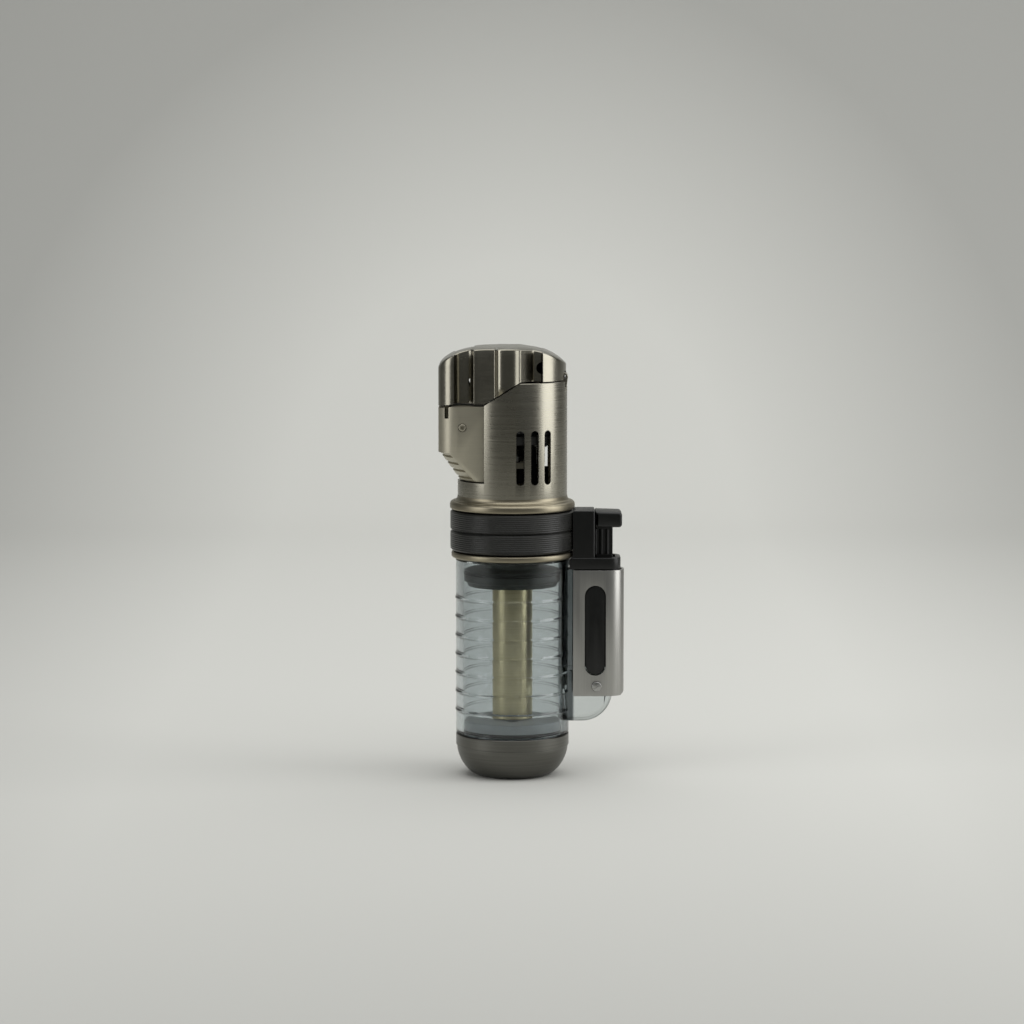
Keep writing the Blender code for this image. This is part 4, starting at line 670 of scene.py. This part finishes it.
# %% Head barrel
HINGE = HINGE_X, HINGE_Z = 12.6, round(sum(levels("lid_hinge_pin")) / 2, 2)
KNUCKLE_R = 1.25
TRIGGER_LOW, TRIGGER_TOP = levels("trigger")
HEAD_R, HEAD_BORE, HEAD_LOW, HEAD_TOP = 13.7, 12.7, levels("head_barrel")[0], HINGE_Z - 1.0
SIDE_X, SIDE_LOW, SIDE_TOP, SEAM_X = -7.0, TRIGGER_LOW - 0.3, TRIGGER_TOP + 0.3, 2.0
SLOT_WIDE, SLOT_TALL, SLOT_MIDDLE, SLOT_FIRST, SLOT_PITCH = 2.07, 13.5, HEAD_LOW + 10.55, 8.3, 15.7
FAR = 40.0


def moved(made, matrix, shift=(0, 0, 0)):
    """Turns every point of a mesh by a matrix and then shifts it."""
    points = np.empty(len(made.data.vertices) * 3)
    made.data.vertices.foreach_get("co", points)
    made.data.vertices.foreach_set("co", (points.reshape(-1, 3) @ matrix + shift).ravel())
    return made


def about_axis(degrees):
    """The matrix that turns points about the torch's axis."""
    c, s = math.cos(math.radians(degrees)), math.sin(math.radians(degrees))
    return np.array([[c, s, 0], [-s, c, 0], [0, 0, 1]])


def pill_outline(x, z, wide, tall, steps):
    """A long rounded outline about a middle."""
    return rounded_box(x - wide / 2, x + wide / 2, z - tall / 2, z + tall / 2, wide / 2 - 0.001, steps)


def air_slots():
    """A pill-shaped cutter for each slot, three on the front and three on the back."""
    pill = pill_outline(0, SLOT_MIDDLE, SLOT_WIDE, SLOT_TALL, 12)
    turns = [SLOT_FIRST + SLOT_PITCH * k for k in range(3)]
    return [moved(extruded("air_slot", pill, -FAR, -HEAD_R / 2, "Y"), about_axis(turn))
            for turn in turns + [180 - turn for turn in turns]]


barrel = turned("head_barrel_turned", soften([
    (HEAD_BORE, HEAD_LOW, 0), (HEAD_R, HEAD_LOW, 0.15), (HEAD_R, HEAD_TOP, 0.2), (HEAD_BORE, HEAD_TOP, 0)]),
    steps=256)
above = HEAD_TOP + 9
wedge = [(-FAR, SIDE_TOP), (SIDE_X, SIDE_TOP), (SEAM_X, HEAD_TOP), (SEAM_X, above), (-FAR, above)]
side = rounded_box(-FAR, SIDE_X, SIDE_LOW, above, 0)
combine(barrel, extruded("seam", wedge, -FAR, FAR, "Y"), extruded("side", side, -FAR, FAR, "Y"), *air_slots(),
        extruded("hinge_notch", rounded_box(10.95, FAR, -3.8, 3.8, 0.6), HEAD_TOP - 1.5, FAR * 3))


def ear_outline():
    """An eye round the pin on a foot that stands on the barrel's wall."""
    turn, foot = np.radians(np.linspace(-20, 180, 25)), HEAD_TOP - 2.7
    eye = arc(*HINGE, KNUCKLE_R, turn)
    return np.concatenate([eye, [(HINGE_X - KNUCKLE_R, foot), (HEAD_R - 0.3, foot)]])


combine(barrel, *[extruded("ear", ear_outline(), *y, "Y", edge=0.15) for y in ((1.6, 3.2), (-3.2, -1.6))],
        operation="UNION")
combine(barrel, rod("ear_hole", 0.75, -FAR, FAR, HINGE))
hand_over(barrel, "brushed_head", "gunmetal", "head_barrel")
hinge_pin = rod("lid_hinge_pin_turned", 0.6, -3.2, 3.2, HINGE, edge=0.2)
hand_over(hinge_pin, "plain_steel", "steel", "lid_hinge_pin")

# %% [markdown]
# ## Lid
# The lid is a block with fluted sides and an arched top. Seen from above, its outline is a chain: the nose,
# a notch, a flat flute, a round flute, a gully and the round end. It could be drawn as a curve by hand; here
# it follows from a few radii and angles, and a slight blur softens its ridges.

# %% Lid outline
LID_LEFT, LID_R, LID_HALF, NOSE_R = -18.4, 13.4, 10.2, 5.0
NOTCH_LEFT, NOTCH_RIGHT, NOTCH_FLOOR, NOTCH_R = -14.4, -9.6, 5.7, 1.92
FLUTE_FIRST, FLUTE_PITCH, FLUTE_R, FLAT_LEAN, FLAT_STEP = -27.5, 24.1, 4.0, 14.0, 0.8
GULLY_FOOT, GULLY_WALL, GULLY_FLOOR = 5.2, 7.4, 8.8
OUTLINE_STEP, RIDGE_BLUR = 0.1, 0.11


def flute_arc(size, turn):
    """The hollow of one flute: an arc whose two ends lie on the lid's circle, half a pitch to either side."""
    half = math.radians(FLUTE_PITCH / 2)
    out = LID_R * math.cos(half) + math.sqrt(size**2 - (LID_R * math.sin(half)) ** 2)
    spread_half = math.asin(LID_R * math.sin(half) / size)
    middle = math.radians(turn)
    sweep_turn = middle + math.pi - np.linspace(-spread_half, spread_half, 40)
    return np.stack([out * math.sin(middle) + size * np.sin(sweep_turn),
                     out * math.cos(middle) + size * np.cos(sweep_turn)], axis=1)


def flat_flute(turn, lean, step):
    """The flute beside the notch: a flat that leans by an angle, then a short step up to the next ridge."""
    ends = np.radians([turn - FLUTE_PITCH / 2, turn + FLUTE_PITCH / 2])
    (left, low), (right, high) = LID_R * np.stack([np.sin(ends), np.cos(ends)], axis=1)
    foot = right - step
    return np.array([(left, low), (foot, low + (foot - left) * math.tan(math.radians(lean))), (right, high)])


def lid_half():
    """Half of the lid's outline from nose to hinge, at even steps, with its ridges blurred a little."""
    turn = np.linspace(0, math.asin((NOTCH_LEFT - LID_LEFT - NOSE_R) / NOSE_R) + math.pi / 2, 40)
    nose = np.stack([LID_LEFT + NOSE_R * (1 - np.cos(turn)), LID_HALF - NOSE_R * (1 - np.sin(turn))], axis=1)
    nose = np.concatenate([[(LID_LEFT, 0)], nose])
    notch = soften([(NOTCH_LEFT, nose[-1, 1], 0), (NOTCH_LEFT, NOTCH_FLOOR, NOTCH_R),
                    (NOTCH_RIGHT, NOTCH_FLOOR, NOTCH_R), (NOTCH_RIGHT, LID_HALF, 0)], 12)
    flutes = [flat_flute(FLUTE_FIRST, FLAT_LEAN, FLAT_STEP), flute_arc(FLUTE_R, FLUTE_FIRST + FLUTE_PITCH)]
    gully = soften([(SEAM_X, math.sqrt(LID_R**2 - SEAM_X**2), 0), (GULLY_FOOT, GULLY_FLOOR, 0.8),
                    (GULLY_WALL, GULLY_FLOOR, 0.6), (GULLY_WALL, math.sqrt(LID_R**2 - GULLY_WALL**2), 0)], 6)
    turn = np.linspace(math.asin(GULLY_WALL / LID_R), math.pi / 2, 60)
    end = LID_R * np.stack([np.sin(turn), np.cos(turn)], axis=1)
    chain = np.concatenate([nose, notch, *flutes, gully, end])
    run = np.concatenate([[0], np.cumsum(np.linalg.norm(np.diff(chain, axis=0), axis=1))])
    even = np.linspace(0, run[-1], int(run[-1] / OUTLINE_STEP))
    x, w = (np.interp(even, run, values) for values in chain.T)
    reach = np.arange(-6, 7) * OUTLINE_STEP
    weight = np.exp(-((reach / RIDGE_BLUR) ** 2) / 2)
    weight /= weight.sum()
    x = np.convolve(np.concatenate([np.full(6, x[0]), x, np.full(6, x[-1])]), weight, "valid")
    w = np.convolve(np.concatenate([-w[6:0:-1], w, -w[-2:-8:-1]]), weight, "valid")
    x = np.maximum.accumulate(x) + np.linspace(0, 1e-3, len(x))
    return x, np.maximum(w, 0)


LID_X, LID_W = lid_half()
print("lid outline of", len(LID_X), "steps, ridge to ridge", round(float(LID_W.max()), 2), "mm")

# %% [markdown]
# Each half of the outline is a width over x, so the lid is made as cross-sections along x. The width gives
# the sides, an arch gives the top, and a fillet that depends on the distance to the outline rounds the top
# edge, which a bevel does not manage on so many small faces. Pockets and vents are cut afterwards.

# %% Lid block
CROWN_TOP, CROWN_DROP, CROWN_POWER = levels("lid")[1], 4.0, 3.3
EDGE_LOW, EDGE_SAG, NOSE_RUN, ROOF = TRIGGER_TOP + 0.6, 0.7, 3.8, CROWN_TOP - 2.3
LID_EDGE, NOSE_EDGE = 0.4, 1.1


def crown(x):
    """Height of the arched top: a power of the distance from the lid's middle."""
    half = (LID_R - LID_LEFT) / 2
    return CROWN_TOP - CROWN_DROP * np.minimum(np.abs(x - (LID_LEFT + LID_R) / 2) / half, 1) ** CROWN_POWER


def underside(x):
    """Height of the lower edge: it sags at the nose, is flat over the trigger, climbs, and is flat again."""
    return np.interp(x, [LID_LEFT - 1, LID_LEFT + NOSE_RUN, SIDE_X, SEAM_X],
                     [EDGE_LOW - EDGE_SAG, EDGE_LOW, EDGE_LOW, HEAD_TOP + 0.3])


def distance_to_outline(x, y):
    """The least distance from each point to the outline's points, in blocks of whole arrays."""
    outline = np.stack([LID_X, LID_W], axis=1)
    near = np.full(x.shape, 9.0)
    for part in np.array_split(outline, 24):
        away = np.hypot(x[..., None] - part[:, 0], np.abs(y)[..., None] - part[:, 1])
        near = np.minimum(near, away.min(axis=-1))
    return near


def lid_block():
    """Cross-sections along x: up one side, over the filleted top, down the other side and back underneath."""
    radius = (LID_EDGE + (NOSE_EDGE - LID_EDGE) * np.exp(-(((LID_X - LID_LEFT) / 1.4) ** 2)))[:, None]
    inward = np.concatenate([radius * np.linspace(0, 1, 9) ** 1.6 / np.maximum(LID_W, 0.02)[:, None],
                             np.ones((len(LID_X), 1))], axis=1)
    inward = np.minimum(inward, 1 - 0.001 * np.arange(9, -1, -1))
    share = np.concatenate([1 - inward, inward[:, -2::-1] - 1], axis=1)
    x = np.broadcast_to(LID_X[:, None], share.shape)
    y = LID_W[:, None] * share
    near = np.minimum(distance_to_outline(x, y), radius)
    top = crown(x) - radius + np.sqrt(np.maximum(radius**2 - (radius - near) ** 2, 0))
    rise = np.linspace(0, 1, 8)[None, :-1]
    low, eave = underside(LID_X)[:, None], crown(LID_X)[:, None] - radius
    wall = low + (eave - low) * rise
    side = np.broadcast_to(LID_W[:, None], wall.shape)
    across = np.linspace(-1, 1, 9)[None, 1:-1] * LID_W[:, None]
    height = np.concatenate([wall, top, wall[:, ::-1], np.broadcast_to(low, across.shape)], axis=1)
    width = np.concatenate([side, y, -side[:, ::-1], across], axis=1)
    points = np.stack([np.broadcast_to(LID_X[:, None], width.shape), width, height], axis=-1)
    return mesh_of("lid_milled", points, grid_quads(*width.shape, closed=False))


lid = lid_block()
combine(lid, rod("round_pocket", 8.6, 80, ROOF, (0, 0), "Z", steps=96),
        extruded("nose_pocket", rounded_box(-15.0, 0, -4.3, 4.3, 0.8), 80, ROOF - 2.4),
        rod("notch_vent", 1.5, -6.0, 6.0, (-9.4, HEAD_TOP - 0.1)),
        rod("gully_vent", 1.5, -9.1, 9.1, (7.4, HEAD_TOP + 3.6)),
        *[rod("ear_room", KNUCKLE_R + 0.35, *y, HINGE) for y in ((1.3, 3.5), (-3.5, -1.3))])
combine(lid, rod("knuckle", KNUCKLE_R, -1.3, 1.3, HINGE), operation="UNION")
combine(lid, rod("knuckle_hole", 0.75, -3.2, 3.2, HINGE))
hand_over(lid, "polished_lid", "gunmetal", "lid", body="lid", sharp=38)
liner = rod("lid_liner_pressed", 8.3, *levels("lid_liner"), (0, 0), "Z", edge=0.2, steps=96)
hand_over(liner, "plain_steel", "steel", "lid_liner", body="lid")

# %% [markdown]
# ## Trigger
# The trigger is a hollow lever with a rounded end. Its toe is a cone about the head's axis with four thin
# grooves for the finger, which stop short of the flat faces; a fork inside reaches under the valve's collar.
# A cast part is best made like its mould: the outline and the cone share one block, and the rest is cut.

# %% Toe of the trigger
TRIGGER_RIGHT, TRIGGER_WALL, END_WALL = -5.6, 1.2, 1.6
TOE_SMALL, TOE_LARGE, TOE_RISE, TOE_GROOVES, TOE_RIM = 13.2, 18.4, 7.2, 4, 0.7
GROOVE_WIDE, GROOVE_DEEP, TOE_CHAMFER = 0.7, 0.6, 0.22
FORK_LOW, FORK_HALF, FORK_PROUD = TRIGGER_LOW + 2.7, 3.6, 0.15
FORK_TOP = FORK_LOW + 1.5
PIVOT = -12.4, round(sum(levels("trigger_pin")) / 2, 2)


def toe_cone(name, grown, grooves=0):
    """A cone about the head's axis that opens upwards to the trigger's end, plain or with V grooves."""
    small, large = TOE_SMALL + grown, TOE_LARGE + grown
    slope, rise = (large - small) / TOE_RISE, TOE_RISE / max(grooves, 1)
    middle = rise * (np.arange(grooves)[:, None] + 0.5)
    height = middle + GROOVE_WIDE / 2 * np.array([-1, 0, 1])
    radius = small + slope * height - GROOVE_DEEP * np.array([0, 1, 0])
    notches = np.stack([radius, TRIGGER_LOW + height, 0 * height], axis=-1).reshape(-1, 3).tolist()
    stem = [(0, TRIGGER_LOW - 2, 0), (small, TRIGGER_LOW - 2, 0), (small, TRIGGER_LOW, 0)]
    rim = TRIGGER_LOW + TOE_RISE
    top = [(large, rim, 0), (FAR, rim + 0.2, 0), (FAR, 110, 0), (0, 110, 0)]
    return turned(name, soften(stem + notches + top, 3), steps=256)


def edge_plane(side):
    """A slab that takes the corner off the toe's slanting edge on one flat face: it lies along the edge."""
    along, out = np.array([-0.693, 0, 0.721]), np.array([-0.354, 0.873 * side, -0.335])
    across, thick = np.cross(out, along), 1.5
    middle = np.array([-11.9, LID_HALF * side, TRIGGER_LOW + TOE_RISE / 2]) + out * (thick - TOE_CHAMFER)
    corners = np.array([(-1, -1), (1, -1), (1, 1), (-1, 1)])
    ring = corners[:, :1] * along * 6 + corners[:, 1:] * across * 3
    return capped("edge_plane", np.stack([middle + ring - out * thick, middle + ring + out * thick]))


print("trigger pivots at", PIVOT)

# %% Trigger and its pin
plan = soften([(LID_LEFT, -LID_HALF, NOSE_R), (TRIGGER_RIGHT, -LID_HALF, 0.2), (TRIGGER_RIGHT, LID_HALF, 0.2),
               (LID_LEFT, LID_HALF, NOSE_R)], 16)
trigger = extruded("trigger_cast", plan, TRIGGER_LOW, TRIGGER_TOP + 1)
combine(trigger, toe_cone("toe", 0), operation="INTERSECT")
inside = LID_HALF - TRIGGER_WALL
end_x, under_x = LID_LEFT + END_WALL, TRIGGER_WALL * 2 - TOE_SMALL
hollow = [(end_x, TRIGGER_TOP + 2), (end_x, FORK_TOP + 4.3), (end_x + 2.8, FORK_TOP - FORK_PROUD),
          (0, FORK_TOP - FORK_PROUD), (0, TRIGGER_TOP + 2)]
room = extruded("room", hollow, -inside, inside, "Y")
combine(room, toe_cone("room_toe", -TRIGGER_WALL - 0.3),
        extruded("room_plan", inset(plan, TRIGGER_WALL), TRIGGER_LOW, TRIGGER_TOP + 4), operation="INTERSECT")
under = rounded_box(under_x, 0, FORK_LOW + FORK_PROUD, TRIGGER_LOW - 1, 0)
over = [(LID_LEFT - 1, TRIGGER_TOP - EDGE_SAG), (LID_LEFT + NOSE_RUN, TRIGGER_TOP), (0, TRIGGER_TOP),
        (0, TRIGGER_TOP + 3), (LID_LEFT - 1, TRIGGER_TOP + 3)]
groove_end = LID_HALF - TOE_RIM
grooves = extruded("grooves", rounded_box(-FAR, 0, -groove_end, groove_end, 0), TRIGGER_LOW - 1, TRIGGER_TOP)
combine(grooves, toe_cone("toe_ribs", 0.002, TOE_GROOVES))
lip_slot = extruded("lip_slot", rounded_box(-16.8, -15.8, -FAR, 5.0 - inside, 0.2),
                    TRIGGER_TOP - 3.0, TRIGGER_TOP + 1)
combine(trigger, room, extruded("under", under, -FORK_HALF - 2, FORK_HALF + 2, "Y"),
        extruded("over", over, -FAR, FAR, "Y"), grooves, edge_plane(-1), edge_plane(1), lip_slot)
prong = [(TRIGGER_RIGHT - 1.5, -FORK_HALF, 0), (3.0, -FORK_HALF, 0.4), (3.0, -2.2, 0.3), (-3.25, -2.2, 0.6)]
fork = soften(prong + [(x, -y, soft) for x, y, soft in prong[::-1]])
combine(trigger, extruded("fork", fork, FORK_LOW, FORK_TOP), operation="UNION")
combine(trigger, rod("pin_hole", 1.05, -FAR, FAR, PIVOT))
hand_over(trigger, "satin_trigger", "gunmetal", "trigger", body="trigger")

pin = rod("trigger_pin_turned", 0.9, -10.5, 10.5, PIVOT, edge=0.15)
combine(pin, *[rod("dimple", 0.45, *y, PIVOT, steps=24) for y in ((-11, -9.7), (9.7, 11))])
hand_over(pin, "satin_trigger", "steel", "trigger_pin")

# %% [markdown]
# ## Sparking unit
# A folded steel sleeve slides over a black moulded core and is held by one screw in the tank's lug. Its front
# has a long window with a black strip behind it. A sheet could be bent with modifiers; a rounded section
# carried upwards, with a smaller one taken out of it, gives the same even wall.

# %% Sleeve, strip and screw
SLEEVE_X0, SLEEVE_X1, SLEEVE_HALF, SLEEVE_R, SLEEVE_WALL = 15.2, 28.0, 5.2, 4.6, 0.6
WINDOW_X, WINDOW_Z, WINDOW_WIDE, WINDOW_TALL = 20.75, SLEEVE_LOW + 16.55, 5.3, 22.7


def arched(left, right, half, radius, steps=10):
    """An outline with two square corners on the left and two round ones on the right."""
    return soften([(left, -half, 0), (right, -half, radius), (right, half, radius), (left, half, 0)], steps)


sleeve = extruded("igniter_sleeve_folded", arched(SLEEVE_X0, SLEEVE_X1, SLEEVE_HALF, SLEEVE_R, 14),
                  SLEEVE_LOW, SLEEVE_TOP, edge=0.05)
channel = arched(SLEEVE_X0 - 2, *(size - SLEEVE_WALL for size in (SLEEVE_X1, SLEEVE_HALF, SLEEVE_R)), 14)
window = pill_outline(WINDOW_X, WINDOW_Z, WINDOW_WIDE, WINDOW_TALL, 14)
nip = np.array([(27.1, -1.0), (29.0, -1.0), (29.0, 0.8), (27.99, 0.8), (27.1, 0.01)]) + (0, SLEEVE_LOW)
combine(sleeve, extruded("channel", channel, SLEEVE_LOW - 1, SLEEVE_TOP + 1),
        extruded("window", window, -7, -3.6, "Y"),
        rod("screw_hole", 1.0, -7, -3.6, SCREW, steps=32), extruded("nip", nip, -7, 7, "Y"))
hand_over(sleeve, "brushed_sleeve", "steel", "igniter_sleeve")

strip_outline = pill_outline(WINDOW_X, WINDOW_Z, WINDOW_WIDE - 0.6, WINDOW_TALL - 0.6, 14)
strip = extruded("sleeve_inlay_moulded", strip_outline, -5.0, -4.6, "Y", edge=0.12)
hand_over(strip, "black_plastic", "black_plastic", "sleeve_inlay")

LAID_DOWN, SLOT_TURN = np.eye(3)[[0, 2, 1]], np.array([[0.8, 0.6], [-0.6, 0.8]])
screw = turned("sleeve_screw_turned", soften([
    (0, -6.0, 0), (1.2, -5.95, 0.2), (1.3, -5.5, 0.05), (0.7, -5.5, 0), (0.7, -1.7, 0.1),
    (0, -1.3, 0)]), steps=48)
moved(screw, LAID_DOWN, np.array([SCREW[0], 0, SCREW[1]]) * MM)
screw.data.flip_normals()
driver_slot = rounded_box(-0.9, 0.9, -0.14, 0.14, 0) @ SLOT_TURN + SCREW
combine(screw, extruded("driver_slot", driver_slot, -7, -5.75, "Y"))
hand_over(screw, "plain_steel", "steel", "sleeve_screw")

# %% [markdown]
# Above the sleeve the moulded core widens to a collar, and a guide stands beside the thumb button. The
# button is a grooved stem with a hooked top. Each is a few outlines carried along an axis and joined into
# one piece, as the mould makes it; thin rods cut the grooves on both faces.

# %% Core with its collar, and the thumb button
COLLAR_LOW, GUIDE_TOP = SLEEVE_TOP + 0.3, levels("igniter_frame")[1] - 0.5
COLLAR_TOP = COLLAR_LOW + 2.9
core = extruded("igniter_frame_moulded", arched(15.5, 27.1, 4.3, 3.7), CORE_LOW, COLLAR_LOW + 1)
collar = extruded("collar", arched(14.2, 27.1, 5.2, 3.0), COLLAR_LOW, COLLAR_TOP, edge=0.3)
guide = extruded("guide", arched(14.2, 20.6, 5.0, 0.5, 6), COLLAR_TOP - 1, GUIDE_TOP, edge=0.25)
combine(core, collar, guide, operation="UNION")
body_room = turned("body_room", [(0, CORE_LOW - 1), (14.8, CORE_LOW - 1), (14.8, TANK_TOP), (15.9, TANK_TOP),
                                 (15.9, GUIDE_TOP + 1), (0, GUIDE_TOP + 1)], steps=192)
combine(core, body_room,
        extruded("cavity", rounded_box(20.65, 25.8, -2.9, 2.9, 0.3), CORE_LOW + 1.5, COLLAR_TOP + 1))
hand_over(core, "black_plastic", "black_plastic", "igniter_frame")

STEM_LOW, HOOK_TOP = levels("thumb_button")
STEM_LEFT, STEM_RIGHT, STEM_HALF, HOOK_LOW = 20.72, 25.1, 2.6, HOOK_TOP - 4.0
button = extruded("thumb_button_moulded", rounded_box(STEM_LEFT, STEM_RIGHT, -STEM_HALF, STEM_HALF, 0.35),
                  STEM_LOW, HOOK_LOW + 1)
hook = soften([(STEM_LEFT, HOOK_LOW, 0.1), (27.4, HOOK_LOW, 0.8), (27.4, HOOK_TOP - 0.2, 0.9),
               (STEM_LEFT, HOOK_TOP, 0.3)], 8)
combine(button, extruded("hook", hook, -4.6, 4.6, "Y", edge=0.7), operation="UNION")
for x in (21.45, 22.95, 24.45):
    for y in (-STEM_HALF - 0.4, STEM_HALF + 0.4):
        combine(button, rod("groove", 0.8, COLLAR_TOP + 0.6, HOOK_LOW - 0.6, (x, y), "Z", steps=40))
hand_over(button, "black_plastic", "black_plastic", "thumb_button", body="button")

# %% [markdown]
# ## Burner
# Little of the burner shows through the slots and under an open lid, but the ends of its tubes and the bent
# wire do, so they get rounded lips. The wire is a circle carried along a bent path; a curve with a bevel
# would look the same, but a plain mesh needs no conversion.

# %% Flame tube, mixing tube, insulator and electrode
FLAME_LOW, FLAME_TOP = levels("flame_tube")
flame_tube = turned("flame_tube_rolled", soften([
    (5.3, FLAME_LOW, 0), (6.0, FLAME_LOW, 0), (6.0, FLAME_TOP, 0.35), (5.0, FLAME_TOP, 0.12),
    (5.3, FLAME_TOP - 0.6, 0.2)]), steps=96)
hand_over(flame_tube, "plain_steel", "steel", "flame_tube")

MIXER_LOW, MIXER_TOP = levels("mixing_tube")
mixer = turned("mixing_tube_turned", pipe_profile(2.5, 3.4, MIXER_LOW, MIXER_TOP, 0.1, 0.2), steps=64)
combine(mixer, rod("air_hole", 0.8, -6, 6, (0, MIXER_LOW + 1.6), steps=32))
# The brass mixing tube is painted near black, as shade inside the head.
hand_over(mixer, "shade_black_plastic", "brass", "mixing_tube")

ROD_X, ROD_R = 7.0, 0.45
FIRED_LOW, FIRED_TOP = levels("electrode_insulator")
insulator = turned("electrode_insulator_fired", soften([
    (0.7, FIRED_LOW, 0), (1.1, FIRED_LOW, 0.2), (1.1, FIRED_TOP - 1, 0.1), (1.7, FIRED_TOP - 1, 0.2),
    (1.7, FIRED_TOP, 0.1), (0.7, FIRED_TOP, 0)]), at=(ROD_X, 0), steps=48)
hand_over(insulator, "white_ceramic", "ceramic", "electrode_insulator")


def bent_wire(name, path, radius):
    """A circle carried along a path in the XZ plane: at each point it stands square to the path."""
    way = np.gradient(path, axis=0)
    way_x, way_z = (way / np.linalg.norm(way, axis=1, keepdims=True)).T[:, :, None]
    turn = around(20)[None]
    off = np.stack([-way_z * np.cos(turn), np.sin(turn) + 0 * way_x, way_x * np.cos(turn)], axis=-1)
    spine = np.stack([path[:, 0], 0 * path[:, 0], path[:, 1]], axis=-1)[:, None]
    return capped(name, spine + radius * off)


ROD_LOW, ROD_TOP = levels("electrode")
bend = soften([(ROD_X, ROD_LOW, 0), (ROD_X, ROD_TOP - ROD_R, 1.2), (4.6, ROD_TOP - ROD_R, 0)], 12)
hand_over(bent_wire("electrode_bent", bend, ROD_R), "plain_steel", "steel", "electrode")

# %% [markdown]
# Three compression springs are wound afresh in the boxes of their nodes; the real ones shorten as a button, a
# valve or the filler moves. Each row gives the wire, the turns, the joint, its travel and the fixed end; only
# the wire and the turns are used here.

# %% Compression springs
def coil(node, wire, turns):
    """A wire's circle turned round an upright axis while it climbs evenly, within the box of the node."""
    low, high = span(node)
    middle, radius = (low + high) / 2, (high[0] - low[0]) / 2 - wire
    turn = np.linspace(0, math.tau * turns, 32 * turns + 1)[:, None]
    climb = np.linspace(low[2] + wire, high[2] - wire, len(turn))[:, None]
    bead = around(10)[None]
    reach = radius + wire * np.cos(bead)
    x, y = middle[0] + reach * np.cos(turn), middle[1] + reach * np.sin(turn)
    return capped(node + "_wound", np.stack([x, y, climb + wire * np.sin(bead)], axis=-1))


SPRINGS = {"valve_spring": (0.25, 4, "valve_lift", 1.2, 1), "filler_spring": (0.18, 3, "filler_push", 1.5, 1),
           "button_spring": (0.25, 5, "button_slide", 5.0, 0)}
for node, (wire, turns, joint, travel, fixed) in SPRINGS.items():
    spring = coil(node, wire, turns)
    hand_over(spring, "plain_steel", "steel", node)
    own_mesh(spring)
print(len(SPRINGS), "springs wound")

# %% [markdown]
# ## Nodes that stay
# The valve, the sparking element and other pieces deep inside keep the shape they have in the frame.
# Each gets the finish of its material, except those in the near-black finish, which is painted shade.

# %% Finishes for the nodes that stay
KEPT = [
    ("plain_steel", ["regulator_screw", "filler_stem", "valve_stem", "trigger_spring"]),
    ("turned_brass", ["valve_body", "valve_cap", "piezo_plunger"]),
    # These are painted near black, as shade inside the head and the core.
    ("shade_black_plastic", ["air_baffle", "neck_frame", "burner_carrier", "jet_nozzle", "piezo_body"]),
    ("wire_jacket", ["ignition_wire"])]
for finish, nodes in KEPT:
    for node in nodes:
        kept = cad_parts[node]
        kept.data.materials.clear()
        kept.data.materials.append(FINISHES[finish])
print(sum(len(nodes) for finish, nodes in KEPT), "nodes keep their shape")
